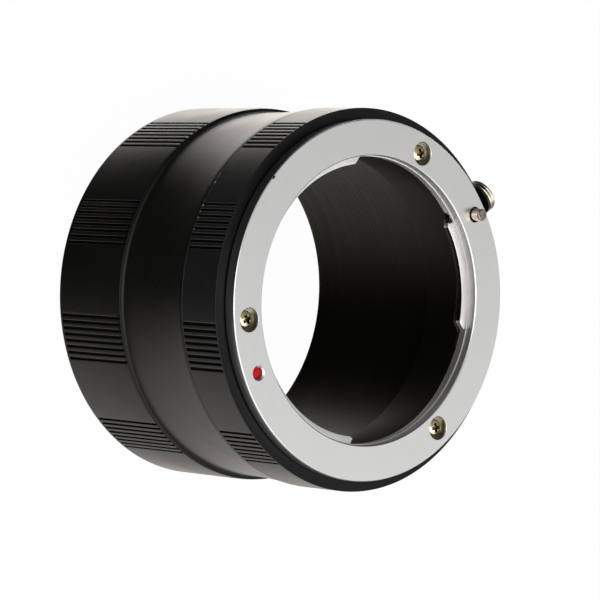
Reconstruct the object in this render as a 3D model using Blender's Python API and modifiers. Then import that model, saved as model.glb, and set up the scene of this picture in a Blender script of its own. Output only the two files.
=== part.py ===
# Macro extension tube: a black turned tube with a chromed lens bayonet.
# It stands on its rear end: +Z runs along the optical axis to the lens side.
# The origin is the centre of the rear end face. All sizes are in metres.

import math

import bmesh
import bpy
from mathutils import Matrix, Vector

# Radii, from the lens throat outwards. Each one stands on its neighbour.
THROAT_RADIUS = 0.0242
CLAW_HEIGHT = 0.0014            # claws stand this far into the throat
COLLAR_WALL = 0.0011            # the collar that centres the flange in its ring
MOUNT_BORE_STEP = 0.0006        # the bore behind the claws is this much wider
FLANGE_WIDTH = 0.0060           # width of the chromed face
RING_LIP = 0.0019               # the grip rings stand out past the flange
WAIST_DEPTH = 0.00078           # the waist between the two grip rings
TUBE_WALL = 0.00382             # waist to bore
SPIGOT_STEP = 0.0007            # the mount ring's rear boss is larger than the bore

# Lengths along the axis
TUBE_LENGTH = 0.0330            # rear end face to the seam
MOUNT_RING_LENGTH = 0.0085      # seam to the face under the flange
REAR_GRIP_LENGTH = 0.01585      # rear end face to the shoulder of the rear grip
SHOULDER_STEP = 0.00045         # drop of that shoulder's first bevel
FIRST_BEVEL_RUN = 0.00055       # its run along the axis
SHOULDER_RUN = 0.0014           # run of both bevels of that shoulder
FLARE_LENGTH = 0.0070           # the waist widens again over this length
SEAM_LAND = 0.0022              # straight part between the flare and the seam
SPIGOT_LENGTH = 0.0018
SPIGOT_END_GAP = 0.0006         # under the boss, at the foot of its socket
EDGE_BREAK = 0.00015            # small bevel on every turned corner
END_BEVEL = 0.0003              # bevel on the rear end face

# Grip: patches of milled grooves, at the same angles on both grip rings
GRIP_PATCHES = 10
GROOVES_PER_PATCH = 8
GROOVE_PITCH_DEG = 1.95
GROOVE_WIDTH = 0.00055
GROOVE_DEPTH = 0.00045

# Bayonet flange
FLANGE_THICKNESS = 0.00205
CLAW_FACE_DEPTH = 0.0020        # flange face to the front of the claws
CLAW_THICKNESS = 0.0011
CLAW_RAMP_DEG = 5.0             # each claw end fairs into the throat over this angle
FLANGE_BEVEL = 0.0002
THROAT_BEVEL = 0.0003

# Screws that hold the flange
SCREW_COUNT = 3
SCREW_INSET = 0.0002            # their circle lies inside the middle of the face
SCREW_HEAD_RADIUS = 0.00175
SCREW_HEAD_HEIGHT = 0.0004      # straight side of the head
SCREW_DOME_HEIGHT = 0.00035
SCREW_SHANK_RADIUS = 0.0009
SCREW_LENGTH = 0.0042           # under the head
HEAD_PLAY = 0.00025             # round the head, in its counterbore
COUNTERBORE_DEPTH = 0.00145
CROSS_WIDTH = 0.00042
CROSS_LENGTH = 0.0021
CROSS_DEPTH = 0.00045

# Red index dot in its drilled hole
DOT_RADIUS = 0.00095
DOT_THICKNESS = 0.0003
DOT_PLAY = 0.00025              # round the dot, in its hole
DOT_HOLE_DEPTH = 0.0010

# Lock pin, its spring and the release knob
PIN_OUTSET = 0.0005             # the pin lies outside the middle of the face
PIN_WALL = 0.00036              # round the spring's seat in the pin
PIN_SHOULDER = 0.00045          # the body is this much wider than the tip
PIN_TIP_ROUNDING = 0.00035
PIN_PROUD = 0.0019              # tip above the flange face at rest
PIN_BODY_LENGTH = 0.00405
PIN_TRAVEL = 0.0021
PIN_CLEARANCE = 0.0003
PIN_FLOOR_WALL = 0.0008         # between the pin's bore and the seam
SPRING_SEAT_DEPTH = 0.0012      # blind hole in the rear of the pin
SPRING_PLAY = 0.0002
SPRING_COIL_RADIUS = 0.00082    # to the middle of the wire
SPRING_WIRE_RADIUS = 0.00012
SPRING_TURNS = 6
KNOB_RADIUS = 0.0029
KNOB_HEIGHT = 0.00125
KNOB_GROOVES = 2
KNOB_GROOVE_DEPTH = 0.00025
KNOB_GROOVE_WIDTH = 0.0002
KNOB_DEPTH = 0.0040             # flange face to the middle of the knob
KNOB_HEAD_STEP = 0.0003         # the domed head of the knob's screw is this much smaller
KNOB_HEAD_HEIGHT = 0.00065
KNOB_HEAD_SIDE = 0.0003         # straight side of that head, under its dome
KNOB_STEM_RADIUS = 0.0006       # its stem runs through the knob and into the pin
KNOB_STEM_END = -0.0006         # the stem ends this far from the pin's axis
KNOB_STEM_CLEARANCE = 0.00015

# Leaf springs that press the lens claws home
LEAF_THICKNESS = 0.00025
LEAF_LIP_SETBACK = 0.0001       # the leaf's lip lies just behind the claw's edge
LEAF_WAIST_WIDTH = 0.0008       # centred on the throat wall
LEAF_FOOT_INSET = 0.0001        # the feet start just outside the throat wall
LEAF_FOOT_SETBACK = 0.0002      # and stop short of the collar's outside
LEAF_FOOT_DEG = 5.0
LEAF_LIP_DEG = 22.0             # the lip fades into the waist over this angle
LEAF_BOW = 0.0003
LEAF_END_DEG = 1.0              # play between a leaf's end and its pocket's end
POCKET_STEP = 0.00005           # the pocket's roof lies this far behind the claw
POCKET_LEAD_DEG = 7.0           # pocket past the first end of its claw
NOTCH_RADIUS = 0.0010           # relief in the collar at the other end
NOTCH_DEG = 3.0                 # middle of the relief past the claw's last full degree
NOTCH_INSET = 0.0002            # middle of the relief inside the throat

# Gaps between faces that meet
SEAT_GAP = 0.00025
SEAM_GAP = 0.0002
DOT_GAP = 0.0001
CLEARANCE = 0.0003

# Angles about the axis, counter-clockwise seen from the lens side
PIN_AZIMUTH = 45.0              # a diagonal, so that the knob stays inside the ring's square
GRIP_AZIMUTH = PIN_AZIMUTH - 18.0
SCREW_AZIMUTH = PIN_AZIMUTH + 34.5
DOT_AZIMUTH = PIN_AZIMUTH + 173.5
CLAWS = {                       # first and last degree of each claw, before its ramps
    1: (PIN_AZIMUTH - 41.0, PIN_AZIMUTH - 0.3),
    2: (PIN_AZIMUTH + 62.7, PIN_AZIMUTH + 113.0),
    3: (PIN_AZIMUTH + 182.0, PIN_AZIMUTH + 232.2),
}

# Facets
RING_STEPS = 72
HOLE_STEPS = 24
SMALL_STEPS = 16
KNOB_STEPS = 24

# Radii worked out from the sizes above
CLAW_RADIUS = THROAT_RADIUS - CLAW_HEIGHT
COLLAR_RADIUS = THROAT_RADIUS + COLLAR_WALL
MOUNT_BORE_RADIUS = THROAT_RADIUS + MOUNT_BORE_STEP
FLANGE_RADIUS = THROAT_RADIUS + FLANGE_WIDTH
RING_RADIUS = FLANGE_RADIUS + RING_LIP
NECK_RADIUS = RING_RADIUS - WAIST_DEPTH
TUBE_BORE_RADIUS = NECK_RADIUS - TUBE_WALL
SPIGOT_RADIUS = TUBE_BORE_RADIUS + SPIGOT_STEP
FACE_MIDDLE_RADIUS = THROAT_RADIUS + FLANGE_WIDTH / 2
SCREW_CIRCLE_RADIUS = FACE_MIDDLE_RADIUS - SCREW_INSET
PIN_CIRCLE_RADIUS = FACE_MIDDLE_RADIUS + PIN_OUTSET
COUNTERBORE_RADIUS = SCREW_HEAD_RADIUS + HEAD_PLAY
DOT_HOLE_RADIUS = DOT_RADIUS + DOT_PLAY
SPRING_SEAT_RADIUS = SPRING_COIL_RADIUS + SPRING_WIRE_RADIUS + SPRING_PLAY
PIN_BODY_RADIUS = SPRING_SEAT_RADIUS + PIN_WALL
PIN_TIP_RADIUS = PIN_BODY_RADIUS - PIN_SHOULDER
KNOB_HEAD_RADIUS = KNOB_RADIUS - KNOB_HEAD_STEP
LEAF_LIP_RADIUS = CLAW_RADIUS + LEAF_LIP_SETBACK
LEAF_WAIST_INNER_RADIUS = THROAT_RADIUS - LEAF_WAIST_WIDTH / 2
LEAF_WAIST_OUTER_RADIUS = THROAT_RADIUS + LEAF_WAIST_WIDTH / 2
LEAF_FOOT_INNER_RADIUS = THROAT_RADIUS + LEAF_FOOT_INSET
LEAF_FOOT_OUTER_RADIUS = COLLAR_RADIUS - LEAF_FOOT_SETBACK

# Heights worked out from the sizes above
SEAM_Z = TUBE_LENGTH + SEAM_GAP
RING_FACE_Z = SEAM_Z + MOUNT_RING_LENGTH
FLANGE_BACK_Z = RING_FACE_Z + SEAT_GAP
FACE_Z = FLANGE_BACK_Z + FLANGE_THICKNESS
CLAW_FRONT_Z = FACE_Z - CLAW_FACE_DEPTH
CLAW_REAR_Z = CLAW_FRONT_Z - CLAW_THICKNESS
POCKET_TOP_Z = CLAW_REAR_Z - POCKET_STEP
LEAF_TOP_Z = POCKET_TOP_Z - SEAT_GAP
LEAF_REAR_Z = LEAF_TOP_Z - LEAF_THICKNESS
RING_FLOOR_Z = LEAF_REAR_Z - SEAT_GAP
COLLAR_REAR_Z = RING_FLOOR_Z + CLEARANCE
SPIGOT_END_Z = SEAM_Z - SPIGOT_LENGTH
PIN_SHOULDER_Z = FLANGE_BACK_Z - CLEARANCE
PIN_REAR_Z = PIN_SHOULDER_Z - PIN_BODY_LENGTH
PIN_BORE_FLOOR_Z = SEAM_Z + PIN_FLOOR_WALL
KNOB_Z = FACE_Z - KNOB_DEPTH
KNOB_BASE = RING_RADIUS + CLEARANCE - PIN_CIRCLE_RADIUS
HEAD_SEAT_Z = FACE_Z - COUNTERBORE_DEPTH
HEAD_BASE_Z = HEAD_SEAT_Z + SEAT_GAP
DOT_FLOOR_Z = FACE_Z - DOT_HOLE_DEPTH
DOT_BASE_Z = DOT_FLOOR_Z + DOT_GAP
OVERRUN = 0.001                 # how far a cutter runs past the faces that it cuts


def clear_scene():
    """Take out whatever the file holds, so that each run gives the same model."""
    for old in list(bpy.data.objects):
        bpy.data.objects.remove(old, do_unlink=True)


clear_scene()
parts = bpy.data.collections.new("macro_extension_tube")
cutters = bpy.data.collections.new("cutters")
bpy.context.scene.collection.children.link(parts)
bpy.context.scene.collection.children.link(cutters)


def material(name, colour, roughness, metallic):
    """A plain Principled finish for one piece."""
    finish = bpy.data.materials.new(name)
    finish.use_nodes = True
    shader = finish.node_tree.nodes["Principled BSDF"]
    shader.inputs["Base Color"].default_value = (*colour, 1.0)
    shader.inputs["Roughness"].default_value = roughness
    shader.inputs["Metallic"].default_value = metallic
    return finish


def around(azimuth, radius, z=0.0):
    """A point at an angle in degrees, a distance from the axis and a height."""
    angle = math.radians(azimuth)
    return Vector((radius * math.cos(angle), radius * math.sin(angle), z))


def link_part(shape, finish):
    """Show an object as a piece of the tube."""
    parts.objects.link(shape)
    shape.data.materials.append(finish)
    return shape


def link_cutter(shape):
    """Keep an object as a tool for Boolean cuts, out of the render."""
    cutters.objects.link(shape)
    shape.hide_render = True
    shape.display_type = "WIRE"
    return shape


def mesh_object(name, build):
    """An object whose mesh is filled by a function that takes a bmesh."""
    mesh = bpy.data.meshes.new(name)
    bm = bmesh.new()
    build(bm)
    bmesh.ops.recalc_face_normals(bm, faces=bm.faces[:])
    bm.to_mesh(mesh)
    bm.free()
    return bpy.data.objects.new(name, mesh)


def turned(name, profile, steps, closed=True):
    """Turn (radius, height) points about Z. They run down the outside first."""
    mesh = bpy.data.meshes.new(name)
    points = [(radius, 0.0, height) for radius, height in profile]
    edges = [(i, i + 1) for i in range(len(points) - 1)]
    if closed:
        edges.append((len(points) - 1, 0))
    mesh.from_pydata(points, edges, [])
    shape = bpy.data.objects.new(name, mesh)
    screw = shape.modifiers.new("turn", "SCREW")
    screw.steps = steps
    screw.render_steps = steps
    screw.use_merge_vertices = True
    screw.merge_threshold = 0.00001
    return shape


def cylinder(name, radius, low, high, steps=HOLE_STEPS):
    """A cylinder along Z between two heights."""
    def build(bm):
        bmesh.ops.create_cone(
            bm, cap_ends=True, segments=steps, radius1=radius, radius2=radius,
            depth=high - low, matrix=Matrix.Translation((0.0, 0.0, (high + low) / 2)))
    return mesh_object(name, build)


def outline(name, points, low, high):
    """A flat outline of (x, y) points, filled and extruded between two heights."""
    curve = bpy.data.curves.new(name, "CURVE")
    curve.dimensions = "2D"
    curve.fill_mode = "BOTH"
    curve.extrude = (high - low) / 2
    spline = curve.splines.new("POLY")
    spline.points.add(len(points) - 1)
    for slot, (x, y) in zip(spline.points, points):
        slot.co = (x, y, 0.0, 1.0)
    spline.use_cyclic_u = True
    drawn = bpy.data.objects.new(name + "_outline", curve)
    drawn.location.z = (high + low) / 2
    return curve_to_mesh(drawn, name)


def curve_to_mesh(drawn, name):
    """Make a mesh object of a curve object and weld its loose caps."""
    bpy.context.scene.collection.objects.link(drawn)
    bpy.context.view_layer.update()
    graph = bpy.context.evaluated_depsgraph_get()
    mesh = bpy.data.meshes.new_from_object(drawn.evaluated_get(graph))
    place = drawn.matrix_world.copy()
    curve = drawn.data
    bpy.data.objects.remove(drawn)
    bpy.data.curves.remove(curve)
    bm = bmesh.new()
    bm.from_mesh(mesh)
    bmesh.ops.remove_doubles(bm, verts=bm.verts[:], dist=0.000001)
    bmesh.ops.recalc_face_normals(bm, faces=bm.faces[:])
    bm.to_mesh(mesh)
    bm.free()
    mesh.materials.clear()
    mesh.name = name
    shape = bpy.data.objects.new(name, mesh)
    shape.matrix_world = place
    return shape


def cut(shape, tool, operation="DIFFERENCE"):
    """Boolean one object with a tool object."""
    modifier = shape.modifiers.new(tool.name, "BOOLEAN")
    modifier.operation = operation
    modifier.object = tool
    modifier.solver = "EXACT"


def join_tools(name, tools):
    """One cutter object out of several that don't touch each other."""
    bm = bmesh.new()
    for tool in tools:
        piece = tool.data.copy()
        piece.transform(tool.matrix_basis)
        bm.from_mesh(piece)
        bpy.data.meshes.remove(piece)
        old = tool.data
        bpy.data.objects.remove(tool)
        bpy.data.meshes.remove(old)
    mesh = bpy.data.meshes.new(name)
    bm.to_mesh(mesh)
    bm.free()
    return link_cutter(bpy.data.objects.new(name, mesh))


def settle(shape):
    """Apply the modifiers and shade the result smooth between its corners."""
    bpy.context.view_layer.update()
    graph = bpy.context.evaluated_depsgraph_get()
    mesh = bpy.data.meshes.new_from_object(shape.evaluated_get(graph))
    shape.modifiers.clear()
    shape.data = mesh
    mesh.name = shape.name
    mesh.shade_smooth()
    mesh.set_sharp_from_angle(angle=math.radians(30))


def smooth_step(t):
    """A soft ramp from 0 to 1."""
    t = min(max(t, 0.0), 1.0)
    return t * t * (3.0 - 2.0 * t)


# Finishes, one for each piece
BLACK_TUBE = material("black_anodised_tube", (0.018, 0.017, 0.016), 0.42, 0.0)
BLACK_RING = material("black_anodised_ring", (0.014, 0.015, 0.016), 0.40, 0.0)
CHROME = material("satin_chrome", (0.78, 0.78, 0.77), 0.30, 1.0)
SCREW_METAL = material("yellow_passivated_steel", (0.72, 0.62, 0.42), 0.28, 1.0)
PIN_METAL = material("polished_steel_pin", (0.72, 0.63, 0.58), 0.22, 1.0)
KNOB_BLACK = material("black_anodised_knob", (0.016, 0.014, 0.012), 0.35, 0.0)
KNOB_METAL = material("nickel_plated_screw", (0.80, 0.72, 0.60), 0.22, 1.0)
SPRING_METAL = material("spring_steel_wire", (0.55, 0.55, 0.56), 0.35, 1.0)
LEAF_METAL = material("spring_steel_leaf", (0.42, 0.42, 0.43), 0.35, 1.0)
RED_ENAMEL = material("red_enamel", (0.62, 0.02, 0.025), 0.25, 0.0)


# Grip grooves: one box for each groove, lying along the axis
def groove_cutter(name, low, high):
    """All the grooves of one grip ring, between two heights."""
    floor = RING_RADIUS - GROOVE_DEPTH
    top = RING_RADIUS + OVERRUN
    middle = (GROOVES_PER_PATCH - 1) / 2

    def build(bm):
        for patch in range(GRIP_PATCHES):
            for groove in range(GROOVES_PER_PATCH):
                azimuth = GRIP_AZIMUTH + patch * 360.0 / GRIP_PATCHES
                azimuth += (groove - middle) * GROOVE_PITCH_DEG
                place = (
                    Matrix.Rotation(math.radians(azimuth), 4, "Z")
                    @ Matrix.Translation(((floor + top) / 2, 0.0, (low + high) / 2))
                    @ Matrix.Diagonal((top - floor, GROOVE_WIDTH, high - low, 1.0)))
                bmesh.ops.create_cube(bm, size=1.0, matrix=place)
    return link_cutter(mesh_object(name, build))


# The tube: rear grip ring, shoulder, waist and flare in one turned piece
def flare(share):
    """A point on the outside of the flare, from its foot (0) to its top (1)."""
    radius = NECK_RADIUS + (RING_RADIUS - NECK_RADIUS) * smooth_step(share)
    height = TUBE_LENGTH - SEAM_LAND - FLARE_LENGTH * (1.0 - share)
    return radius, height


def tube_profile():
    """Section of the tube, down the outside and up the bore."""
    socket = SPIGOT_RADIUS + CLEARANCE
    socket_floor = SPIGOT_END_Z - SPIGOT_END_GAP
    flare_points = 6
    points = [
        (socket, TUBE_LENGTH),
        (RING_RADIUS - EDGE_BREAK, TUBE_LENGTH),
        (RING_RADIUS, TUBE_LENGTH - EDGE_BREAK),
    ]
    points += [flare(1.0 - i / flare_points) for i in range(flare_points + 1)]
    points += [
        (NECK_RADIUS, REAR_GRIP_LENGTH + SHOULDER_RUN),
        (RING_RADIUS - SHOULDER_STEP, REAR_GRIP_LENGTH + FIRST_BEVEL_RUN),
        (RING_RADIUS, REAR_GRIP_LENGTH),
        (RING_RADIUS, END_BEVEL),
        (RING_RADIUS - END_BEVEL, 0.0),
        (TUBE_BORE_RADIUS + END_BEVEL, 0.0),
        (TUBE_BORE_RADIUS, END_BEVEL),
        (TUBE_BORE_RADIUS, socket_floor),
        (socket, socket_floor),
    ]
    return points


tube = link_part(turned("extension_tube", tube_profile(), RING_STEPS), BLACK_TUBE)
neck_clear_z = REAR_GRIP_LENGTH + SHOULDER_RUN + OVERRUN
cut(tube, groove_cutter("rear_grip_grooves", -OVERRUN, neck_clear_z))


# The mount ring: front grip ring, seat of the flange and the screwed boss behind
def mount_ring_profile():
    """Section of the ring that carries the bayonet."""
    counterbore = COLLAR_RADIUS + SEAT_GAP
    return [
        (counterbore, RING_FACE_Z),
        (RING_RADIUS - EDGE_BREAK, RING_FACE_Z),
        (RING_RADIUS, RING_FACE_Z - EDGE_BREAK),
        (RING_RADIUS, SEAM_Z + EDGE_BREAK),
        (RING_RADIUS - EDGE_BREAK, SEAM_Z),
        (SPIGOT_RADIUS, SEAM_Z),
        (SPIGOT_RADIUS, SPIGOT_END_Z),
        (MOUNT_BORE_RADIUS + EDGE_BREAK, SPIGOT_END_Z),
        (MOUNT_BORE_RADIUS, SPIGOT_END_Z + EDGE_BREAK),
        (MOUNT_BORE_RADIUS, RING_FLOOR_Z),
        (counterbore, RING_FLOOR_Z),
    ]


def slot_cutter(name):
    """The slot in the ring's side in which the knob's stem runs."""
    half_width = KNOB_STEM_RADIUS + CLEARANCE
    top = KNOB_Z
    bottom = KNOB_Z - PIN_TRAVEL
    points = []
    for centre, start in ((top, 0.0), (bottom, math.pi)):
        for i in range(SMALL_STEPS // 2 + 1):
            angle = start + math.pi * i / (SMALL_STEPS // 2)
            points.append((half_width * math.cos(angle), centre + half_width * math.sin(angle)))
    shape = outline(name, points, PIN_CIRCLE_RADIUS, RING_RADIUS + OVERRUN)
    turn = Matrix.Rotation(math.radians(PIN_AZIMUTH), 4, "Z")
    outward = Matrix(((0, 0, 1), (1, 0, 0), (0, 1, 0))).to_4x4()
    shape.matrix_world = turn @ outward @ shape.matrix_world
    return link_cutter(shape)


def screw_azimuths():
    """Angles of the flange screws."""
    return [SCREW_AZIMUTH + i * 360.0 / SCREW_COUNT for i in range(SCREW_COUNT)]


ring = link_part(turned("mount_ring", mount_ring_profile(), RING_STEPS), BLACK_RING)
cut(ring, groove_cutter("front_grip_grooves", SEAM_Z - OVERRUN, RING_FACE_Z + OVERRUN))
screw_hole_radius = SCREW_SHANK_RADIUS + CLEARANCE
screw_end_z = HEAD_BASE_Z - SCREW_LENGTH
ring_holes = []
for number, azimuth in enumerate(screw_azimuths(), 1):
    hole = cylinder(
        f"tapped_hole_{number}", screw_hole_radius, screw_end_z - CLEARANCE,
        RING_FACE_Z + OVERRUN, SMALL_STEPS)
    hole.location = around(azimuth, SCREW_CIRCLE_RADIUS)
    ring_holes.append(hole)
pin_bore = cylinder("pin_bore", PIN_BODY_RADIUS + PIN_CLEARANCE, PIN_BORE_FLOOR_Z, RING_FACE_Z + OVERRUN)
pin_bore.location = around(PIN_AZIMUTH, PIN_CIRCLE_RADIUS)
ring_holes.append(pin_bore)
cut(ring, join_tools("mount_ring_holes", ring_holes))
cut(ring, slot_cutter("knob_slot"))


# The bayonet flange: face ring, centring collar and three claws
def flange_profile():
    """Section of the flange without its claws."""
    return [
        (THROAT_RADIUS + THROAT_BEVEL, FACE_Z),
        (FLANGE_RADIUS - FLANGE_BEVEL, FACE_Z),
        (FLANGE_RADIUS, FACE_Z - FLANGE_BEVEL),
        (FLANGE_RADIUS, FLANGE_BACK_Z),
        (COLLAR_RADIUS, FLANGE_BACK_Z),
        (COLLAR_RADIUS, COLLAR_REAR_Z),
        (THROAT_RADIUS, COLLAR_REAR_Z),
        (THROAT_RADIUS, FACE_Z - THROAT_BEVEL),
    ]


def claw_outline(first, last):
    """Outline of one claw: an arc whose ends fair softly into the throat wall."""
    root = (THROAT_RADIUS + COLLAR_RADIUS) / 2
    buried = THROAT_RADIUS + (root - THROAT_RADIUS) / 2
    span = last - first + 2 * CLAW_RAMP_DEG
    steps = 24
    inner = []
    for i in range(steps + 1):
        azimuth = first - CLAW_RAMP_DEG + span * i / steps
        inside = min(azimuth - first, last - azimuth) / CLAW_RAMP_DEG + 1.0
        radius = buried + (CLAW_RADIUS - buried) * smooth_step(inside)
        inner.append(around(azimuth, radius).to_2d())
    outer = [around(last + CLAW_RAMP_DEG - span * i / steps, root).to_2d() for i in range(steps + 1)]
    return inner + outer


def pocket_first(first):
    """Where a claw's leaf pocket starts, in degrees."""
    return first - CLAW_RAMP_DEG - POCKET_LEAD_DEG


def arc_band(name, first, last, inner, outer, low, high, steps=16):
    """A flat piece of a ring between two angles, two radii and two heights."""
    angles = [first + (last - first) * i / steps for i in range(steps + 1)]
    points = [around(a, outer).to_2d() for a in angles]
    points += [around(a, inner).to_2d() for a in reversed(angles)]
    return outline(name, points, low, high)


flange = link_part(turned("bayonet_flange", flange_profile(), RING_STEPS), CHROME)
for number, (first, last) in CLAWS.items():
    claw = outline(f"claw_{number}", claw_outline(first, last), CLAW_REAR_Z, CLAW_FRONT_Z)
    cut(flange, link_cutter(claw), "UNION")
for number, (first, last) in CLAWS.items():
    pocket = arc_band(
        f"leaf_pocket_{number}", pocket_first(first), last + NOTCH_DEG,
        CLAW_RADIUS - CLEARANCE, COLLAR_RADIUS + CLEARANCE, COLLAR_REAR_Z - OVERRUN, POCKET_TOP_Z)
    cut(flange, link_cutter(pocket))
flange_holes = []
for number, (first, last) in CLAWS.items():
    notch = cylinder(
        f"relief_notch_{number}", NOTCH_RADIUS, COLLAR_REAR_Z - OVERRUN,
        CLAW_FRONT_Z + POCKET_STEP, SMALL_STEPS)
    notch.location = around(last + NOTCH_DEG, THROAT_RADIUS - NOTCH_INSET)
    flange_holes.append(notch)
pin_hole = cylinder("pin_hole", PIN_TIP_RADIUS + PIN_CLEARANCE, FLANGE_BACK_Z - OVERRUN, FACE_Z + OVERRUN)
pin_hole.location = around(PIN_AZIMUTH, PIN_CIRCLE_RADIUS)
flange_holes.append(pin_hole)
dot_hole = cylinder("dot_hole", DOT_HOLE_RADIUS, DOT_FLOOR_Z, FACE_Z + OVERRUN)
dot_hole.location = around(DOT_AZIMUTH, FACE_MIDDLE_RADIUS)
flange_holes.append(dot_hole)
for number, azimuth in enumerate(screw_azimuths(), 1):
    bore = turned(f"counterbore_{number}", [
        (0.0, FACE_Z + OVERRUN),
        (COUNTERBORE_RADIUS, FACE_Z + OVERRUN),
        (COUNTERBORE_RADIUS, HEAD_SEAT_Z),
        (screw_hole_radius, HEAD_SEAT_Z),
        (screw_hole_radius, FLANGE_BACK_Z - OVERRUN),
        (0.0, FLANGE_BACK_Z - OVERRUN),
    ], HOLE_STEPS, closed=False)
    parts.objects.link(bore)
    settle(bore)
    bore.location = around(azimuth, SCREW_CIRCLE_RADIUS)
    flange_holes.append(bore)
cut(flange, join_tools("flange_holes", flange_holes))


# Screws: domed heads with a cross recess, sunk below the face
def screw_profile():
    """Section of one screw, from the top of the dome down to the point."""
    side_z = HEAD_BASE_Z + SCREW_HEAD_HEIGHT
    tip_z = HEAD_BASE_Z - SCREW_LENGTH
    dome = [(0.0, side_z + SCREW_DOME_HEIGHT)]
    dome_points = 4
    for i in range(1, dome_points + 1):
        angle = math.pi / 2 * i / dome_points
        dome.append((SCREW_HEAD_RADIUS * math.sin(angle), side_z + SCREW_DOME_HEIGHT * math.cos(angle)))
    return dome + [
        (SCREW_HEAD_RADIUS, HEAD_BASE_Z),
        (SCREW_SHANK_RADIUS, HEAD_BASE_Z),
        (SCREW_SHANK_RADIUS, tip_z + EDGE_BREAK),
        (SCREW_SHANK_RADIUS - EDGE_BREAK, tip_z),
        (0.0, tip_z),
    ]


def cross_cutter(name, turn):
    """The cross recess of a screw head."""
    top = HEAD_BASE_Z + SCREW_HEAD_HEIGHT + SCREW_DOME_HEIGHT
    low = top - CROSS_DEPTH
    high = top + OVERRUN
    half = CROSS_LENGTH / 2
    arm = CROSS_WIDTH / 2
    points = []
    for quarter in range(4):
        spin = Matrix.Rotation(math.radians(turn + 90 * quarter), 2)
        points += [spin @ Vector(corner) for corner in ((half, -arm), (half, arm), (arm, arm))]
    return outline(name, points, low, high)


SCREW_TURNS = (22.0, 48.0, 71.0)        # how each cross came to rest, in degrees
for number, azimuth in enumerate(screw_azimuths(), 1):
    screw = link_part(
        turned(f"flange_screw_{number}", screw_profile(), SMALL_STEPS, closed=False), SCREW_METAL)
    recess = link_cutter(cross_cutter(f"cross_{number}", SCREW_TURNS[(number - 1) % len(SCREW_TURNS)]))
    for shape in (screw, recess):
        shape.location += around(azimuth, SCREW_CIRCLE_RADIUS)
    cut(screw, recess)
    settle(screw)


# Index dot: a bead of enamel on the floor of its hole
dot = link_part(turned("index_dot", [
    (0.0, DOT_BASE_Z + DOT_THICKNESS),
    (DOT_RADIUS * 0.7, DOT_BASE_Z + DOT_THICKNESS * 0.9),
    (DOT_RADIUS, DOT_BASE_Z + DOT_THICKNESS * 0.55),
    (DOT_RADIUS, DOT_BASE_Z),
    (0.0, DOT_BASE_Z),
], HOLE_STEPS, closed=False), RED_ENAMEL)
dot.location = around(DOT_AZIMUTH, FACE_MIDDLE_RADIUS)


# Lock pin: a rounded tip, a wider body held behind the flange, a blind hole for
# the spring and a cross hole for the knob's stem
def pin_profile():
    """Section of the lock pin."""
    tip_z = FACE_Z + PIN_PROUD
    rounding = PIN_TIP_ROUNDING
    seat_z = PIN_REAR_Z + SPRING_SEAT_DEPTH
    tip = [(0.0, tip_z)]
    tip_points = 4
    for i in range(tip_points + 1):
        angle = math.pi / 2 * i / tip_points
        tip.append((
            PIN_TIP_RADIUS - rounding + rounding * math.sin(angle),
            tip_z - rounding + rounding * math.cos(angle)))
    return tip + [
        (PIN_TIP_RADIUS, PIN_SHOULDER_Z),
        (PIN_BODY_RADIUS, PIN_SHOULDER_Z),
        (PIN_BODY_RADIUS, PIN_REAR_Z),
        (SPRING_SEAT_RADIUS, PIN_REAR_Z),
        (SPRING_SEAT_RADIUS, seat_z),
        (0.0, seat_z),
    ]


release = bpy.data.objects.new("release_slide", None)
parts.objects.link(release)
release.location = around(PIN_AZIMUTH, PIN_CIRCLE_RADIUS)
release.rotation_euler.z = math.radians(PIN_AZIMUTH)

pin = link_part(turned("lock_pin", pin_profile(), HOLE_STEPS, closed=False), PIN_METAL)
pin.parent = release
stem_hole_radius = KNOB_STEM_RADIUS + KNOB_STEM_CLEARANCE
cross_hole = cylinder(
    "stem_hole", stem_hole_radius, KNOB_STEM_END - KNOB_STEM_CLEARANCE,
    PIN_BODY_RADIUS + OVERRUN, SMALL_STEPS)
cross_hole.parent = release
cross_hole.rotation_euler.y = math.radians(90)
cross_hole.location.z = KNOB_Z
cut(pin, link_cutter(cross_hole))


# Release knob: a black turned disc with grooves round its edge
def knob_profile():
    """Section of the knob along its own axis, which points out of the tube."""
    top = KNOB_BASE + KNOB_HEIGHT
    points = [(stem_hole_radius, top), (KNOB_RADIUS - EDGE_BREAK, top), (KNOB_RADIUS, top - EDGE_BREAK)]
    for groove in range(KNOB_GROOVES):
        middle = top - KNOB_HEIGHT * (groove + 1) / (KNOB_GROOVES + 1)
        points += [
            (KNOB_RADIUS, middle + KNOB_GROOVE_WIDTH / 2),
            (KNOB_RADIUS - KNOB_GROOVE_DEPTH, middle + KNOB_GROOVE_WIDTH / 4),
            (KNOB_RADIUS - KNOB_GROOVE_DEPTH, middle - KNOB_GROOVE_WIDTH / 4),
            (KNOB_RADIUS, middle - KNOB_GROOVE_WIDTH / 2),
        ]
    return points + [
        (KNOB_RADIUS, KNOB_BASE + EDGE_BREAK),
        (KNOB_RADIUS - EDGE_BREAK, KNOB_BASE),
        (stem_hole_radius, KNOB_BASE),
    ]


# Knob screw: a domed head outside the knob, on a stem that runs into the pin
def knob_screw_profile():
    """Section of the knob's screw along the knob's axis."""
    seat = KNOB_BASE + KNOB_HEIGHT + KNOB_STEM_CLEARANCE
    dome = KNOB_HEAD_HEIGHT - KNOB_HEAD_SIDE
    side = seat + KNOB_HEAD_SIDE
    dome_points = 5
    points = [(0.0, side + dome)]
    for i in range(1, dome_points + 1):
        angle = math.pi / 2 * i / dome_points
        points.append((KNOB_HEAD_RADIUS * math.sin(angle), side + dome * math.cos(angle)))
    return points + [
        (KNOB_HEAD_RADIUS, seat),
        (KNOB_STEM_RADIUS, seat),
        (KNOB_STEM_RADIUS, KNOB_STEM_END),
        (0.0, KNOB_STEM_END),
    ]


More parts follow.
